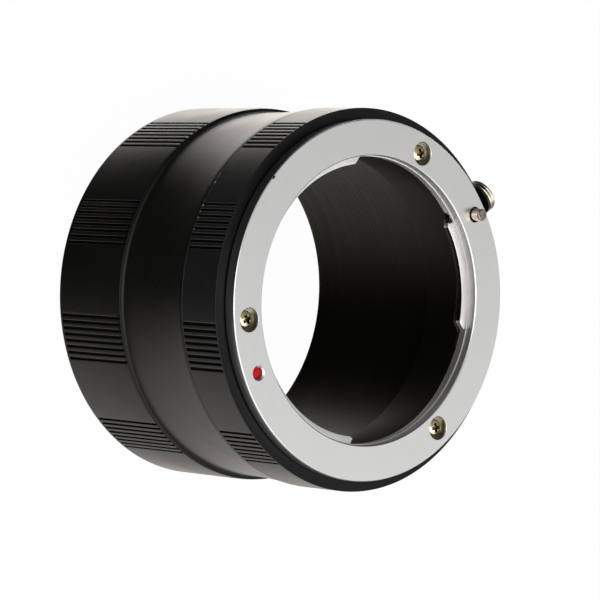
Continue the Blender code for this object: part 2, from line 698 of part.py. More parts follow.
knob = link_part(turned("release_knob", knob_profile(), KNOB_STEPS), KNOB_BLACK)
knob_screw = link_part(
    turned("release_knob_screw", knob_screw_profile(), KNOB_STEPS, closed=False), KNOB_METAL)
for shape in (knob, knob_screw):
    shape.parent = release
    shape.rotation_euler.y = math.radians(90)
    shape.location.z = KNOB_Z


# Pin spring: a round-wire compression spring between the bore's floor and the pin
def spring_points():
    """Middle of the wire, from the lower end to the upper end."""
    low = PIN_BORE_FLOOR_Z + SEAT_GAP + SPRING_WIRE_RADIUS
    high = PIN_REAR_Z + SPRING_SEAT_DEPTH - SEAT_GAP - SPRING_WIRE_RADIUS
    per_turn = 12
    count = SPRING_TURNS * per_turn
    points = []
    for i in range(count + 1):
        angle = 2 * math.pi * i / per_turn
        height = low + (high - low) * i / count
        points.append((SPRING_COIL_RADIUS * math.cos(angle), SPRING_COIL_RADIUS * math.sin(angle), height))
    return points


wire = bpy.data.curves.new("lock_pin_spring", "CURVE")
wire.dimensions = "3D"
wire.bevel_depth = SPRING_WIRE_RADIUS
wire.bevel_resolution = 1
wire.use_fill_caps = True
path = wire.splines.new("POLY")
route = spring_points()
path.points.add(len(route) - 1)
for slot, (x, y, z) in zip(path.points, route):
    slot.co = (x, y, z, 1.0)
coil = bpy.data.objects.new("spring_wire", wire)
spring = link_part(curve_to_mesh(coil, "lock_pin_spring"), SPRING_METAL)
spring.location = around(PIN_AZIMUTH, PIN_CIRCLE_RADIUS)


# Leaf springs: a strip behind each claw, its feet trapped under the collar and
# its waist bowed away from the claw
def leaf_outline(first, last, leaf_first, leaf_last):
    """Outline of a leaf: feet at both ends, and a lip that follows the claw's end."""
    steps = 28
    angles = [leaf_first + (leaf_last - leaf_first) * i / steps for i in range(steps + 1)]
    outer = []
    inner = []
    for azimuth in angles:
        inside = min(azimuth - leaf_first, leaf_last - azimuth) / LEAF_FOOT_DEG
        slim = smooth_step(inside * 2.0 - 1.0)
        radius = LEAF_FOOT_OUTER_RADIUS + (LEAF_WAIST_OUTER_RADIUS - LEAF_FOOT_OUTER_RADIUS) * slim
        outer.append(around(azimuth, radius).to_2d())
        if azimuth < first:
            lip = smooth_step((azimuth - first) / CLAW_RAMP_DEG + 1.0)
            edge = LEAF_FOOT_INNER_RADIUS
        else:
            lip = 1.0 - smooth_step((azimuth - first) / LEAF_LIP_DEG)
            edge = LEAF_WAIST_INNER_RADIUS
        inner.append(around(azimuth, edge + (LEAF_LIP_RADIUS - edge) * lip).to_2d())
    return outer + inner[::-1]


def bow(shape, leaf_first, leaf_last):
    """Bend the waist of a leaf away from its claw."""
    foot = LEAF_FOOT_DEG / (leaf_last - leaf_first)
    for vertex in shape.data.vertices:
        azimuth = math.degrees(math.atan2(vertex.co.y, vertex.co.x))
        along = ((azimuth - leaf_first) % 360.0) / (leaf_last - leaf_first)
        if foot < along < 1.0 - foot:
            vertex.co.z -= LEAF_BOW * math.sin(math.pi * (along - foot) / (1.0 - 2.0 * foot)) ** 2


for number, (first, last) in CLAWS.items():
    leaf_first = pocket_first(first) + LEAF_END_DEG
    leaf_last = last + NOTCH_DEG - LEAF_END_DEG
    leaf = outline(
        f"leaf_spring_{number}", leaf_outline(first, last, leaf_first, leaf_last),
        LEAF_REAR_Z, LEAF_TOP_Z)
    bow(leaf, leaf_first, leaf_last)
    settle(link_part(leaf, LEAF_METAL))

for shape in (tube, ring, flange, dot, pin, knob, knob_screw):
    settle(shape)
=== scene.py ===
# %% [markdown]
# # Dressing a macro extension tube
#
# A macro extension tube is a plain black ring of metal that holds a lens further from the
# camera. This one carries a chromed bayonet in front, with a spring-loaded lock pin and a
# small release knob at its side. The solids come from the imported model. This file gives them
# the fine edges, the milled grips, the threads and the finishes that a photograph shows.

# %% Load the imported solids
import random
from math import atan2, cos, degrees, dist, hypot, pi, radians, sin, sqrt, tan

import bmesh
import bpy
from mathutils import Matrix, Vector


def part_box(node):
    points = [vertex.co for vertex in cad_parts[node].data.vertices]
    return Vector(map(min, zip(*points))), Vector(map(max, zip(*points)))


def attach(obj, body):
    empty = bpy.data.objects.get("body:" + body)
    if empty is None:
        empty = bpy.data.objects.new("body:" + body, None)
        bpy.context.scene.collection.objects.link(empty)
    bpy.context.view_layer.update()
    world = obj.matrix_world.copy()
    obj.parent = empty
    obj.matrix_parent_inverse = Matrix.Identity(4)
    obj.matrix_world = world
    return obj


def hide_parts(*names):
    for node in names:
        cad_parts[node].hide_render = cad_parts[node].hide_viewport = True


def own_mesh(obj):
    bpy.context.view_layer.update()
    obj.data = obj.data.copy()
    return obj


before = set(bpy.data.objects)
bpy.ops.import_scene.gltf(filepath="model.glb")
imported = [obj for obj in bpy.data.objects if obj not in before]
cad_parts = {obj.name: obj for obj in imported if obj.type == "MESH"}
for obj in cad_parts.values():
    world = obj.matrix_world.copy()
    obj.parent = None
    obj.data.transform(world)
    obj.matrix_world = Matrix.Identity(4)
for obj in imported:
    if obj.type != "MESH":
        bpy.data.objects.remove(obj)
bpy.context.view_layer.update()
print("solids:", sorted(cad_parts))

# %% [markdown]
# The places of the pieces are read from the solids, so that the looks follow a change of the
# model. The tube stands on its rear end, so Z is the optical axis and heights run towards the
# lens. Sizes in this file are millimetres, and only the builders turn them into metres.

# %% Places read from the solids
MM = 0.001


def box_mm(node):
    """Lowest and highest corner of a solid, in millimetres."""
    low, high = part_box(node)
    return low / MM, high / MM


def polar(spot):
    """Degrees about the axis, and distance from it."""
    return degrees(atan2(spot.y, spot.x)), hypot(spot.x, spot.y)


tube_high = box_mm("extension_tube")[1]
ring_low, ring_high = box_mm("mount_ring")
flange_low, flange_high = box_mm("bayonet_flange")
pin_low, pin_high = box_mm("lock_pin")
spring_low, spring_high = box_mm("lock_pin_spring")
dot_low, dot_high = box_mm("index_dot")
pin_centre = (pin_low + pin_high) / 2
dot_centre = (dot_low + dot_high) / 2

BARREL_R = tube_high.x
TUBE_END_Z = tube_high.z
RING_FACE_Z = ring_high.z
SPIGOT_END_Z = ring_low.z
FLANGE_R = flange_high.x
FACE_Z = flange_high.z
COLLAR_REAR_Z = flange_low.z
PIN_AZIMUTH, PIN_CIRCLE_R = polar(pin_centre)
DOT_AZIMUTH, DOT_CIRCLE_R = polar(dot_centre)
print(f"barrel {BARREL_R:.2f}, flange {FLANGE_R:.2f}, face at {FACE_Z:.2f} mm, pin at {PIN_AZIMUTH:.1f} deg")

# %% [markdown]
# Nearly every piece of this tube was made on a lathe, so the main builder turns a section
# round the axis. A real turned edge is never razor sharp: a small rounding catches a thin line
# of light, and that line is what makes metal look like metal. So each corner of a section is
# softened before it is turned, and one more point beside each rounding keeps the flat flat.

# %% Builders for turned pieces
GENTLE_TURN = radians(12)
HOLD = 1.4                       # how far out the holding point lies, in roundings
WELD = 0.0002                    # points nearer than this become one


def soften(points, radius, closed=True, steps=3):
    """Round the corners of a section of (radius, height) points."""
    rounded = []
    count = len(points)
    for i, point in enumerate(points):
        corner = Vector(point)
        before = Vector(points[i - 1]) - corner
        after = Vector(points[(i + 1) % count]) - corner
        open_end = not closed and i in (0, count - 1)
        if open_end or pi - before.angle(after) < GENTLE_TURN:
            rounded.append(corner)
            continue
        reach = min(radius, before.length * 0.45, after.length * 0.45)
        start = corner + before.normalized() * reach
        end = corner + after.normalized() * reach
        if before.length > 4 * reach:
            rounded.append(corner + before.normalized() * reach * HOLD)
        for step in range(steps + 1):
            t = step / steps
            rounded.append(start * (1 - t) ** 2 + corner * 2 * t * (1 - t) + end * t * t)
        if after.length > 4 * reach:
            rounded.append(corner + after.normalized() * reach * HOLD)
    return rounded


def linked(name, data):
    """A new object in the scene."""
    thing = bpy.data.objects.new(name, data)
    bpy.context.scene.collection.objects.link(thing)
    return thing


def new_piece(name, bm):
    """A linked object made of a bmesh, with its faces turned outwards."""
    bmesh.ops.remove_doubles(bm, verts=bm.verts[:], dist=WELD * MM)
    bmesh.ops.recalc_face_normals(bm, faces=bm.faces[:])
    mesh = bpy.data.meshes.new(name)
    bm.to_mesh(mesh)
    bm.free()
    return linked(name, mesh)


def turned(name, section, steps=288, closed=True):
    """Turn a section of (radius, height) points in millimetres about Z."""
    bm = bmesh.new()
    verts = [bm.verts.new((r * MM, 0.0, z * MM)) for r, z in section]
    pairs = list(zip(verts, verts[1:]))
    if closed:
        pairs.append((verts[-1], verts[0]))
    edges = [bm.edges.new(pair) for pair in pairs]
    bmesh.ops.spin(
        bm, geom=verts + edges, cent=(0, 0, 0), axis=(0, 0, 1), angle=2 * pi, steps=steps, use_merge=True)
    return new_piece(name, bm)


def arc_line(x, y, across, up, first, last, step):
    """Points of an arc about (x, y), from degrees off its top."""
    return [(x + across * sin(radians(a)), y + up * cos(radians(a))) for a in range(first, last + 1, step)]


# %% [markdown]
# Small pieces and tools are turned about Z as well and then set out at their own place on the
# flange. Places there are given as degrees about the axis and a distance from it, as on a
# workshop's dividing head. Holes and slots are cut with a Boolean and a tool of their shape.

# %% Setting out and cutting
def flat_arc(azimuth, radius):
    """A point of an outline, from degrees and millimetres."""
    angle = radians(azimuth)
    return radius * cos(angle), radius * sin(angle)


def around(azimuth, radius, z=0.0):
    """The same point as a vector in metres, with a height."""
    return Vector((*flat_arc(azimuth, radius), z)) * MM


def set_out(piece, azimuth, radius):
    """Move a mesh from the axis out to its place on the flange."""
    piece.data.transform(Matrix.Translation(around(azimuth, radius)))
    return piece


def about_z(azimuth):
    """A turn about the optical axis."""
    return Matrix.Rotation(radians(azimuth), 4, "Z")


def freeze(piece):
    """Make a piece and its modifiers one plain mesh."""
    bpy.context.view_layer.update()
    graph = bpy.context.evaluated_depsgraph_get()
    mesh = bpy.data.meshes.new_from_object(piece.evaluated_get(graph), depsgraph=graph)
    piece.modifiers.clear()
    piece.data = mesh


def carve(piece, cutter, operation="DIFFERENCE"):
    """Cut one mesh with another, or join it, and throw the tool away."""
    modifier = piece.modifiers.new("carve", "BOOLEAN")
    modifier.operation = operation
    modifier.solver = "EXACT"
    modifier.object = cutter
    freeze(piece)
    bpy.data.objects.remove(cutter)
    return piece


# %% [markdown]
# Flat shapes, such as a claw or a leaf spring, are drawn as an outline seen from the lens and
# given a thickness. A bevel on the thin plate breaks its edges before it meets its neighbours.

# %% A builder for flat plates
def plate(name, outline, low, high, bevel=0.0):
    """A flat plate between two heights from an outline of (x, y) points in millimetres."""
    bm = bmesh.new()
    verts = [bm.verts.new((x * MM, y * MM, low * MM)) for x, y in outline]
    base = bm.faces.new(verts)
    lifted = bmesh.ops.extrude_face_region(bm, geom=[base])
    top = [item for item in lifted["geom"] if isinstance(item, bmesh.types.BMVert)]
    bmesh.ops.translate(bm, verts=top, vec=(0, 0, (high - low) * MM))
    piece = new_piece(name, bm)
    if bevel:
        edge = piece.modifiers.new("edge", "BEVEL")
        edge.width = bevel * MM
        edge.segments = 2
        edge.limit_method = "ANGLE"
        edge.angle_limit = radians(50)
        freeze(piece)
    return piece


def ramp(t):
    """A soft step from 0 to 1."""
    t = min(max(t, 0.0), 1.0)
    return t * t * (3 - 2 * t)


# %% [markdown]
# What repeats is made by Geometry Nodes: a tree with named sizes copies one shape many times.
# Small helpers build the trees and their maths. The last one sets a tree's sizes on an object,
# takes the result as a plain mesh and removes the modifier again.

# %% Helpers for nodes
def new_tree(name, sizes):
    """An empty tree with one input for each named size, and its two end nodes."""
    tree = bpy.data.node_groups.new(name, "GeometryNodeTree")
    tree.interface.new_socket("Geometry", in_out="INPUT", socket_type="NodeSocketGeometry")
    for label, kind in sizes.items():
        tree.interface.new_socket(label, in_out="INPUT", socket_type="NodeSocket" + kind)
    tree.interface.new_socket("Geometry", in_out="OUTPUT", socket_type="NodeSocketGeometry")
    return tree, tree.nodes.new("NodeGroupInput").outputs, tree.nodes.new("NodeGroupOutput")


def node(tree, kind, inputs=None, **settings):
    """A node with its settings and inputs. An input is a value or another node's output."""
    made = tree.nodes.new(kind)
    for key, value in settings.items():
        setattr(made, key, value)
    for key, value in (inputs or {}).items():
        if isinstance(value, bpy.types.NodeSocket):
            tree.links.new(value, made.inputs[key])
        else:
            made.inputs[key].default_value = value
    return made


def add(tree, kind, inputs=None, **settings):
    """The first output of a new node."""
    return node(tree, kind, inputs, **settings).outputs[0]


def calc(tree, operation, first, second=0.0):
    """The output of a Math node."""
    return add(tree, "ShaderNodeMath", {0: first, 1: second}, operation=operation)


def plus(tree, first, second):
    """The sum of two values."""
    return calc(tree, "ADD", first, second)


def times(tree, first, second):
    """The product of two values."""
    return calc(tree, "MULTIPLY", first, second)


def end_tree(tree, sink, shape, finish):
    """End a tree with real geometry and its finish."""
    real = add(tree, "GeometryNodeRealizeInstances", {"Geometry": shape})
    dressed = add(tree, "GeometryNodeSetMaterial", {"Geometry": real, "Material": finish})
    tree.links.new(dressed, sink.inputs[0])
    return tree


def run_tree(piece, tree, sizes):
    """Set a tree's named inputs on a piece and keep the result as its plain mesh."""
    modifier = piece.modifiers.new(tree.name, "NODES")
    modifier.node_group = tree
    sockets = {item.name: item.identifier for item in tree.interface.items_tree if item.in_out == "INPUT"}
    for label, value in sizes.items():
        modifier[sockets[label]] = value
    freeze(piece)
    print(piece.name, "has", len(piece.data.polygons), "faces after", tree.name)
    return piece


# %% [markdown]
# ## Finishes
#
# Every finish is worked out from the place on the piece, so it needs no pictures. Turned metal
# is described best in the lathe's own terms: how far along the axis, how far from it, and how
# far round. One helper gives those three in millimetres, and the next lays the skin out flat.
# Stretching that flat skin along the arc turns a noise into tool marks that run round the axis.

# %% Helpers for finishes
WHITE = (1.0, 1.0, 1.0)


def new_finish(name, colour, roughness, metallic=0.0, **sockets):
    """A Principled material. Constant values go straight on the shader's sockets."""
    material = bpy.data.materials.new(name)
    material.use_nodes = True
    shader = material.node_tree.nodes["Principled BSDF"]
    shader.inputs["Base Color"].default_value = (*colour, 1.0)
    shader.inputs["Roughness"].default_value = roughness
    shader.inputs["Metallic"].default_value = metallic
    for label, value in sockets.items():
        shader.inputs[label.replace("_", " ")].default_value = value
    return material, material.node_tree, shader


def lathe_place(tree, centre=(0.0, 0.0, 0.0)):
    """Distance from the axis, distance round it and height, in millimetres."""
    place = node(tree, "ShaderNodeTexCoord").outputs["Object"]
    moved = add(tree, "ShaderNodeMapping", {
        "Vector": place, "Location": tuple(-c for c in centre), "Scale": (1 / MM,) * 3})
    x, y, z = node(tree, "ShaderNodeSeparateXYZ", {"Vector": moved}).outputs
    radius = calc(tree, "SQRT", plus(tree, times(tree, x, x), times(tree, y, y)))
    arc = times(tree, calc(tree, "ARCTAN2", y, x), radius)
    return radius, arc, z


def laid_flat(tree, place, scale=(1.0, 1.0, 1.0)):
    """The skin laid flat: along the arc, out from the axis and up, each with its own scale."""
    radius, arc, z = place
    flat = add(tree, "ShaderNodeCombineXYZ", {"X": arc, "Y": radius, "Z": z})
    return add(tree, "ShaderNodeVectorMath", {0: flat, 1: scale}, operation="MULTIPLY")


def noise(tree, vector, scale, detail=3.0, roughness=0.5):
    """The value of a noise texture."""
    return add(tree, "ShaderNodeTexNoise", {
        "Vector": vector, "Scale": scale, "Detail": detail, "Roughness": roughness})


def spread(tree, value, from_low, from_high, to_low=0.0, to_high=1.0):
    """A value moved softly from one range to another."""
    return add(tree, "ShaderNodeMapRange", {
        "Value": value, "From Min": from_low, "From Max": from_high, "To Min": to_low,
        "To Max": to_high}, interpolation_type="SMOOTHSTEP")


def mixed(tree, factor, first, second):
    """A colour between two colours."""
    mix = node(tree, "ShaderNodeMix", {0: factor}, data_type="RGBA")
    for socket, colour in ((mix.inputs[6], first), (mix.inputs[7], second)):
        if isinstance(colour, bpy.types.NodeSocket):
            tree.links.new(colour, socket)
        else:
            socket.default_value = (*colour, 1.0)
    return mix.outputs[2]


def toned(colour, share):
    """A colour made darker or paler."""
    return tuple(min(1.0, share * part) for part in colour)


def bumped(tree, shader, height, strength, distance):
    """Feed a height to the shader as bump, with its distance in millimetres."""
    bump = add(tree, "ShaderNodeBump", {"Height": height, "Strength": strength, "Distance": distance * MM})
    tree.links.new(bump, shader.inputs["Normal"])


# %% [markdown]
# ## Black anodised aluminium
#
# The tube and the ring in front are turned from aluminium and dyed black. Anodising leaves a
# fine, even, slightly velvety skin over the tool marks. It could be a flat dark grey, but then
# the broad highlights would look like plastic. So three things are layered: tool marks that run
# round the axis, a fine grain, and a faint change of gloss. The ring was dyed in another bath
# and is a little cooler than the tube. The lips of the grips were broken with emery and shine
# more. Painted shade darkens the floors of the grooves and the flat faces that look up. On one
# side of the bore the ribs are painted lighter in broken bands, which is a painted highlight.

# %% The black finishes
ROUND_MARKS = (0.06, 7.0, 7.0)   # long round the axis, fine across it
HIGHLIGHT_BANDS = (0.03, 0.0, 0.9)
BARE_SPECK = (0.16, 0.16, 0.15)
RIB_HIGHLIGHT_COLOUR = (0.10, 0.096, 0.088)
BORE_BLACK = (0.0056, 0.0052, 0.0036)
BORE_TINT = (1.0, 0.93, 0.80)


def anodised(name, colour, roughness, specks=0.0, shine=0.5, side_highlight=0.0, tint=WHITE):
    """A dyed black skin over turned metal, with sparse light specks, and lighter bands on one side as a
    painted highlight if asked for.
    """
    material, tree, shader = new_finish(
        name, colour, roughness, Specular_IOR_Level=shine, Specular_Tint=(*tint, 1.0))
    place = lathe_place(tree)
    skin_place = laid_flat(tree, place)
    marks = noise(tree, laid_flat(tree, place, ROUND_MARKS), 1.0, 2.0)
    grain = noise(tree, skin_place, 9.0, 4.0, 0.6)
    cloud = noise(tree, skin_place, 0.13, 2.0)
    gloss = plus(tree, spread(tree, cloud, 0.3, 0.7, roughness - 0.02, roughness + 0.03),
                 spread(tree, grain, 0.3, 0.7, -0.03, 0.03))
    tree.links.new(gloss, shader.inputs["Roughness"])
    skin = mixed(tree, spread(tree, grain, 0.3, 0.7), toned(colour, 0.82), toned(colour, 1.18))
    if specks:
        cells = node(tree, "ShaderNodeTexVoronoi", {"Vector": skin_place, "Scale": 0.55, "Randomness": 1.0})
        chosen = add(tree, "ShaderNodeSeparateColor", {"Color": cells.outputs["Color"]})
        near = spread(tree, cells.outputs["Distance"], 0.03, 0.06, 1.0, 0.0)
        speck = times(tree, near, calc(tree, "GREATER_THAN", chosen, 1.0 - specks))
        skin = mixed(tree, speck, skin, BARE_SPECK)
    # Painted highlight: on one side, a lighter colour in broken bands stands in for light caught by the ribs.
    if side_highlight:
        lit_bands = noise(tree, laid_flat(tree, place, HIGHLIGHT_BANDS), 1.0, 1.0)
        side = spread(tree, place[1], 6.0, 24.0, 0.0, side_highlight)
        share = times(tree, spread(tree, lit_bands, 0.48, 0.62), side)
        skin = mixed(tree, share, skin, RIB_HIGHLIGHT_COLOUR)
    tree.links.new(skin, shader.inputs["Base Color"])
    height = plus(tree, times(tree, marks, 0.6), times(tree, grain, 0.4))
    bumped(tree, shader, height, 0.08, 0.02)
    return material


BLACK_TUBE = anodised("black_anodised_tube", (0.0066, 0.0064, 0.0056), 0.29, shine=0.25)
BLACK_RING = anodised("black_anodised_ring", (0.0110, 0.0113, 0.0116), 0.29, 0.05, shine=0.25)
# Painted shade: a darker black for the flat faces that look up, also used on dark spots of the flange.
SHADE_BLACK = anodised("painted_shade_black", (0.0036, 0.0037, 0.0038), 0.36, shine=0.13)
BLACK_BORE = anodised("matte_black_bore", BORE_BLACK, 0.36, shine=0.14, tint=BORE_TINT)
RING_BORE = anodised("matte_black_ring_bore", BORE_BLACK, 0.36, shine=0.10, tint=BORE_TINT)
# Painted highlight for the bore ribs and threads: lighter in bands on one side.
RIB_HIGHLIGHT_BLACK = anodised("rib_painted_highlight", (0.0050, 0.0048, 0.0036), 0.50, shine=0.04, side_highlight=0.8, tint=BORE_TINT)
BLACK_LIP = anodised("black_emeried_lip", (0.0105, 0.0102, 0.0093), 0.30, shine=0.75)
# Painted shade: a darker, duller black for the floors of the grip grooves.
GROOVE_FLOOR_SHADE = anodised("groove_floor_painted_shade", (0.0020, 0.0020, 0.0018), 0.50, shine=0.05)
BLACK_KNOB = anodised("black_anodised_knob", (0.0070, 0.0060, 0.0052), 0.28)
print("black finishes:", BLACK_TUBE.name, BLACK_RING.name, BLACK_KNOB.name)

# %% [markdown]
# ## Bare and plated metals
#
# The flange is brass plated with satin chrome. On a lathe the tool leaves rings too fine to see
# one by one, which spread a reflection along them. The same recipe with another colour and
# gloss gives the screws, the pin, the knob's screw and the springs, so one function makes all.
# Use and age are further finishes of the same kind: the throat and the claws are dulled by the
# lenses that turned in them. The counterbores are tarnished and painted darker as painted shade,
# and the screws' cross recesses are painted darker as painted shade.

# %% The metal finishes
TURNED_RINGS = (0.05, 16.0, 16.0)


def plated(name, colour, roughness, marks=0.15, centre=(0.0, 0.0, 0.0), stain=0.05,
           gloss_change=0.04, bare=1.0):
    """Plated metal with circular tool marks about a centre, and a faint change of tone."""
    material, tree, shader = new_finish(name, colour, roughness, bare)
    place = lathe_place(tree, centre)
    rings = noise(tree, laid_flat(tree, place, TURNED_RINGS), 1.0, 2.0)
    tone = spread(tree, noise(tree, laid_flat(tree, place), 0.6, 3.0), 0.3, 0.7)
    skin = mixed(tree, tone, toned(colour, 1.0 - stain), toned(colour, 1.0 + stain))
    tree.links.new(skin, shader.inputs["Base Color"])
    gloss = spread(tree, rings, 0.25, 0.75, roughness - gloss_change, roughness + gloss_change)
    tree.links.new(gloss, shader.inputs["Roughness"])
    bumped(tree, shader, rings, marks, 0.01)
    return material


CHROME = plated("satin_chrome", (0.585, 0.585, 0.577), 0.30, 0.012, stain=0.01, gloss_change=0.015)
WORN_CHROME = plated("worn_throat_chrome", (0.62, 0.61, 0.60), 0.42, 0.03, stain=0.03, bare=0.80)
# Tarnish and painted shade: a darker brownish tint for the counterbores.
TARNISH_AND_SHADE = plated("counterbore_tarnish_and_shade", (0.35, 0.33, 0.275), 0.28, 0.05, stain=0.2)
BRASS = plated("yellow_passivated_screw", (0.58, 0.51, 0.34), 0.25, 0.05, stain=0.12)
# Painted shade: a dark brown for the screws' cross recesses.
RECESS_SHADE = plated("screw_recess_painted_shade", (0.17, 0.13, 0.07), 0.34, 0.05, stain=0.12)
PIN_METAL = plated("rosy_polished_pin", (0.60, 0.51, 0.43), 0.26, 0.10, tuple(pin_centre), 0.12)
# Painted shade for the flat end of the pin.
PIN_END_SHADE = plated("pin_end_painted_shade", (0.24, 0.195, 0.165), 0.34, 0.40, tuple(pin_centre), 0.35)
KNOB_METAL = plated("champagne_knob_screw", (0.66, 0.575, 0.455), 0.22, 0.05, stain=0.05)
BARE_EDGE = plated("bare_aluminium_fleck", (0.50, 0.48, 0.44), 0.45, 0.05, bare=0.4)
SPRING_STEEL = plated("bright_spring_wire", (0.52, 0.52, 0.53), 0.28, 0.05)
LEAF_STEEL = plated("dull_spring_leaf", (0.15, 0.13, 0.115), 0.34, 0.10, stain=0.10)
print("metal finishes:", CHROME.name, BRASS.name, PIN_METAL.name, KNOB_METAL.name)

# %% [markdown]
# The red dot is a drop of enamel in a drilled hole. Enamel is glossy and its colour is a little
# deeper where the drop is thin, so a noise moves it between two reds.

# %% The red enamel
RED_ENAMEL, enamel_tree, enamel_shader = new_finish(
    "red_enamel", (0.56, 0.006, 0.012), 0.22, Specular_IOR_Level=0.12)
enamel_tone = noise(enamel_tree, laid_flat(enamel_tree, lathe_place(enamel_tree, tuple(dot_centre))), 1.5)
enamel_tree.links.new(
    mixed(enamel_tree, enamel_tone, (0.38, 0.003, 0.007), (0.60, 0.010, 0.016)),
    enamel_shader.inputs["Base Color"])
bumped(enamel_tree, enamel_shader, enamel_tone, 0.15, 0.05)
print("enamel:", RED_ENAMEL.name)


# %% [markdown]
# ## Trees that repeat a shape
#
# The grips are patches of equal grooves, and the screws are equal heads on a circle. Both are
# one shape copied about the axis, so one tree serves: points are numbered, each number gives
# its angle, and the shape is placed on each point. Patches and their spacing are inputs. A
# random turn with a fixed seed leaves each screw as its own driver left it.

# %% The tree that copies a shape about the axis
def on_circle(tree, angle, radius):
    """The place at an angle and a distance from the axis."""
    x = times(tree, radius, calc(tree, "COSINE", angle))
    y = times(tree, radius, calc(tree, "SINE", angle))
    return add(tree, "ShaderNodeCombineXYZ", {"X": x, "Y": y})


def copies_tree():
    """Copies the piece's mesh in patches about Z, each with a random turn about itself."""
    tree, given, sink = new_tree("copies_about_axis", {
        "Patches": "Int", "In patch": "Int", "Pitch": "Float", "First angle": "Float", "Radius": "Float",
        "Random turn": "Float", "Seed": "Int", "Finish": "Material"})
    in_patch = given["In patch"]
    points = add(tree, "GeometryNodePoints", {"Count": times(tree, given["Patches"], in_patch)})
    number = add(tree, "GeometryNodeInputIndex")
    patch = calc(tree, "FLOOR", calc(tree, "DIVIDE", plus(tree, number, 0.5), in_patch))
    place = calc(tree, "SUBTRACT", number, times(tree, patch, in_patch))
    middle = calc(tree, "DIVIDE", calc(tree, "SUBTRACT", in_patch, 1.0), 2.0)
    step = calc(tree, "DIVIDE", 2 * pi, given["Patches"])
    from_middle = times(tree, calc(tree, "SUBTRACT", place, middle), given["Pitch"])
    angle = plus(tree, given["First angle"], plus(tree, times(tree, patch, step), from_middle))
    spot = on_circle(tree, angle, given["Radius"])
    moved = add(tree, "GeometryNodeSetPosition", {"Geometry": points, "Position": spot})
    chance = node(tree, "FunctionNodeRandomValue", {
        "ID": number, "Seed": given["Seed"]}, data_type="FLOAT").outputs[1]
    own_turn = times(tree, chance, given["Random turn"])
    turn = add(tree, "ShaderNodeCombineXYZ", {"Z": plus(tree, angle, own_turn)})
    copies = add(tree, "GeometryNodeInstanceOnPoints", {
        "Points": moved, "Instance": given["Geometry"], "Rotation": turn})
    return end_tree(tree, sink, copies, given["Finish"])


COPIES = copies_tree()
print(COPIES.name, "has", len(COPIES.nodes), "nodes")

# %% [markdown]
# A thread and a coil spring follow the same rule: a small section swept along a helix. With a
# four-sided section, half sunk in a wall, the sweep is a thread; with a round one it is a wire.

# %% The tree that sweeps a section along a helix
def helix_tree():
    """A section swept along a helix about Z."""
    tree, given, sink = new_tree("swept_helix", {
        "Turns": "Float", "Steps": "Int", "Radius": "Float", "Height": "Float", "Section radius": "Float",
        "Section sides": "Int", "Place": "Vector", "Finish": "Material"})
    path = add(tree, "GeometryNodeCurveSpiral", {
        "Resolution": given["Steps"], "Rotations": given["Turns"], "Start Radius": given["Radius"],
        "End Radius": given["Radius"], "Height": given["Height"]})
    upright = add(tree, "GeometryNodeSetCurveNormal", {"Curve": path}, mode="Z_UP")
    section = add(tree, "GeometryNodeCurvePrimitiveCircle", {
        "Resolution": given["Section sides"], "Radius": given["Section radius"]})
    swept = add(tree, "GeometryNodeCurveToMesh", {
        "Curve": upright, "Profile Curve": section, "Fill Caps": True})
    moved = add(tree, "GeometryNodeTransform", {"Geometry": swept, "Translation": given["Place"]})
    return end_tree(tree, sink, moved, given["Finish"])


HELIX = helix_tree()
print(HELIX.name, "has", len(HELIX.nodes), "nodes")


def wound(name, turns, steps, radius, height, wire, sides, place, finish):
    """A new piece filled by the helix tree, from sizes in millimetres and a place in metres."""
    piece = new_piece(name, bmesh.new())
    return run_tree(piece, HELIX, {
        "Turns": turns, "Steps": steps, "Radius": radius * MM, "Height": height * MM,
        "Section radius": wire * MM, "Section sides": sides, "Place": place, "Finish": finish})


# %% [markdown]
# ## The grips
#
# A small cutter mills each groove along the ring, with a flat floor and steep walls, and the
# ridges between them are broken with emery. Each rounded lip catches a thin line of light, so a
# groove shows as a pair of lines where the ring lies in shade. The cutter is drawn once and
# copied by the tree: ten patches of eight, and the whole set is cut out of the ring in one go.

# %% Milling the grip grooves
REAR_GRIP_HIGH = 16.7
GRIP_PATCHES = 10
GROOVES_PER_PATCH = 8
GROOVE_PITCH = radians(1.95)
GRIP_TURN = radians(PIN_AZIMUTH - 18.0)
GROOVE_HALF_WIDTH = 0.36
GROOVE_DEPTH = 0.30
RIDGE_ROUND = 0.14
WALL_ANGLE = 64
TOOL_PROUD = 1.0                 # the cutter stands this far out of the ring


def groove_tool(name, low, high):
    """One groove's worth of metal along Z, standing where the first copy starts from."""
    edge = GROOVE_HALF_WIDTH + 0.01
    side = [(0.015, edge)]
    for a in range(0, WALL_ANGLE + 1, 16):
        side.append((-RIDGE_ROUND * (1 - cos(radians(a))), GROOVE_HALF_WIDTH - RIDGE_ROUND * sin(radians(a))))
    floor = side[-1][1] - (GROOVE_DEPTH + side[-1][0]) / tan(radians(WALL_ANGLE))
    side.append((-GROOVE_DEPTH, floor))
    far_side = [(x, -y) for x, y in side]
    section = [(TOOL_PROUD, -edge)] + far_side + side[::-1] + [(TOOL_PROUD, edge)]
    return plate(name, section, low, high)


def mill_grip(piece, low, high):
    """Cut all the grooves of one grip ring between two heights."""
    cutter = groove_tool(piece.name + "_grooves", low, high)
    run_tree(cutter, COPIES, {
        "Patches": GRIP_PATCHES, "In patch": GROOVES_PER_PATCH, "Pitch": GROOVE_PITCH,
        "First angle": GRIP_TURN, "Radius": BARREL_R * MM, "Random turn": 0.0, "Seed": 1,
        "Finish": BLACK_TUBE})
    return carve(piece, cutter)


# %% [markdown]
# A black ring takes five finishes, given face by face by where it lies: the skin, the bore, the
# rubbed lips of the grooves, and darker blacks as painted shade on upward faces and groove floors.
# Every finished piece then gets its body, and the solids that it stands for are hidden.

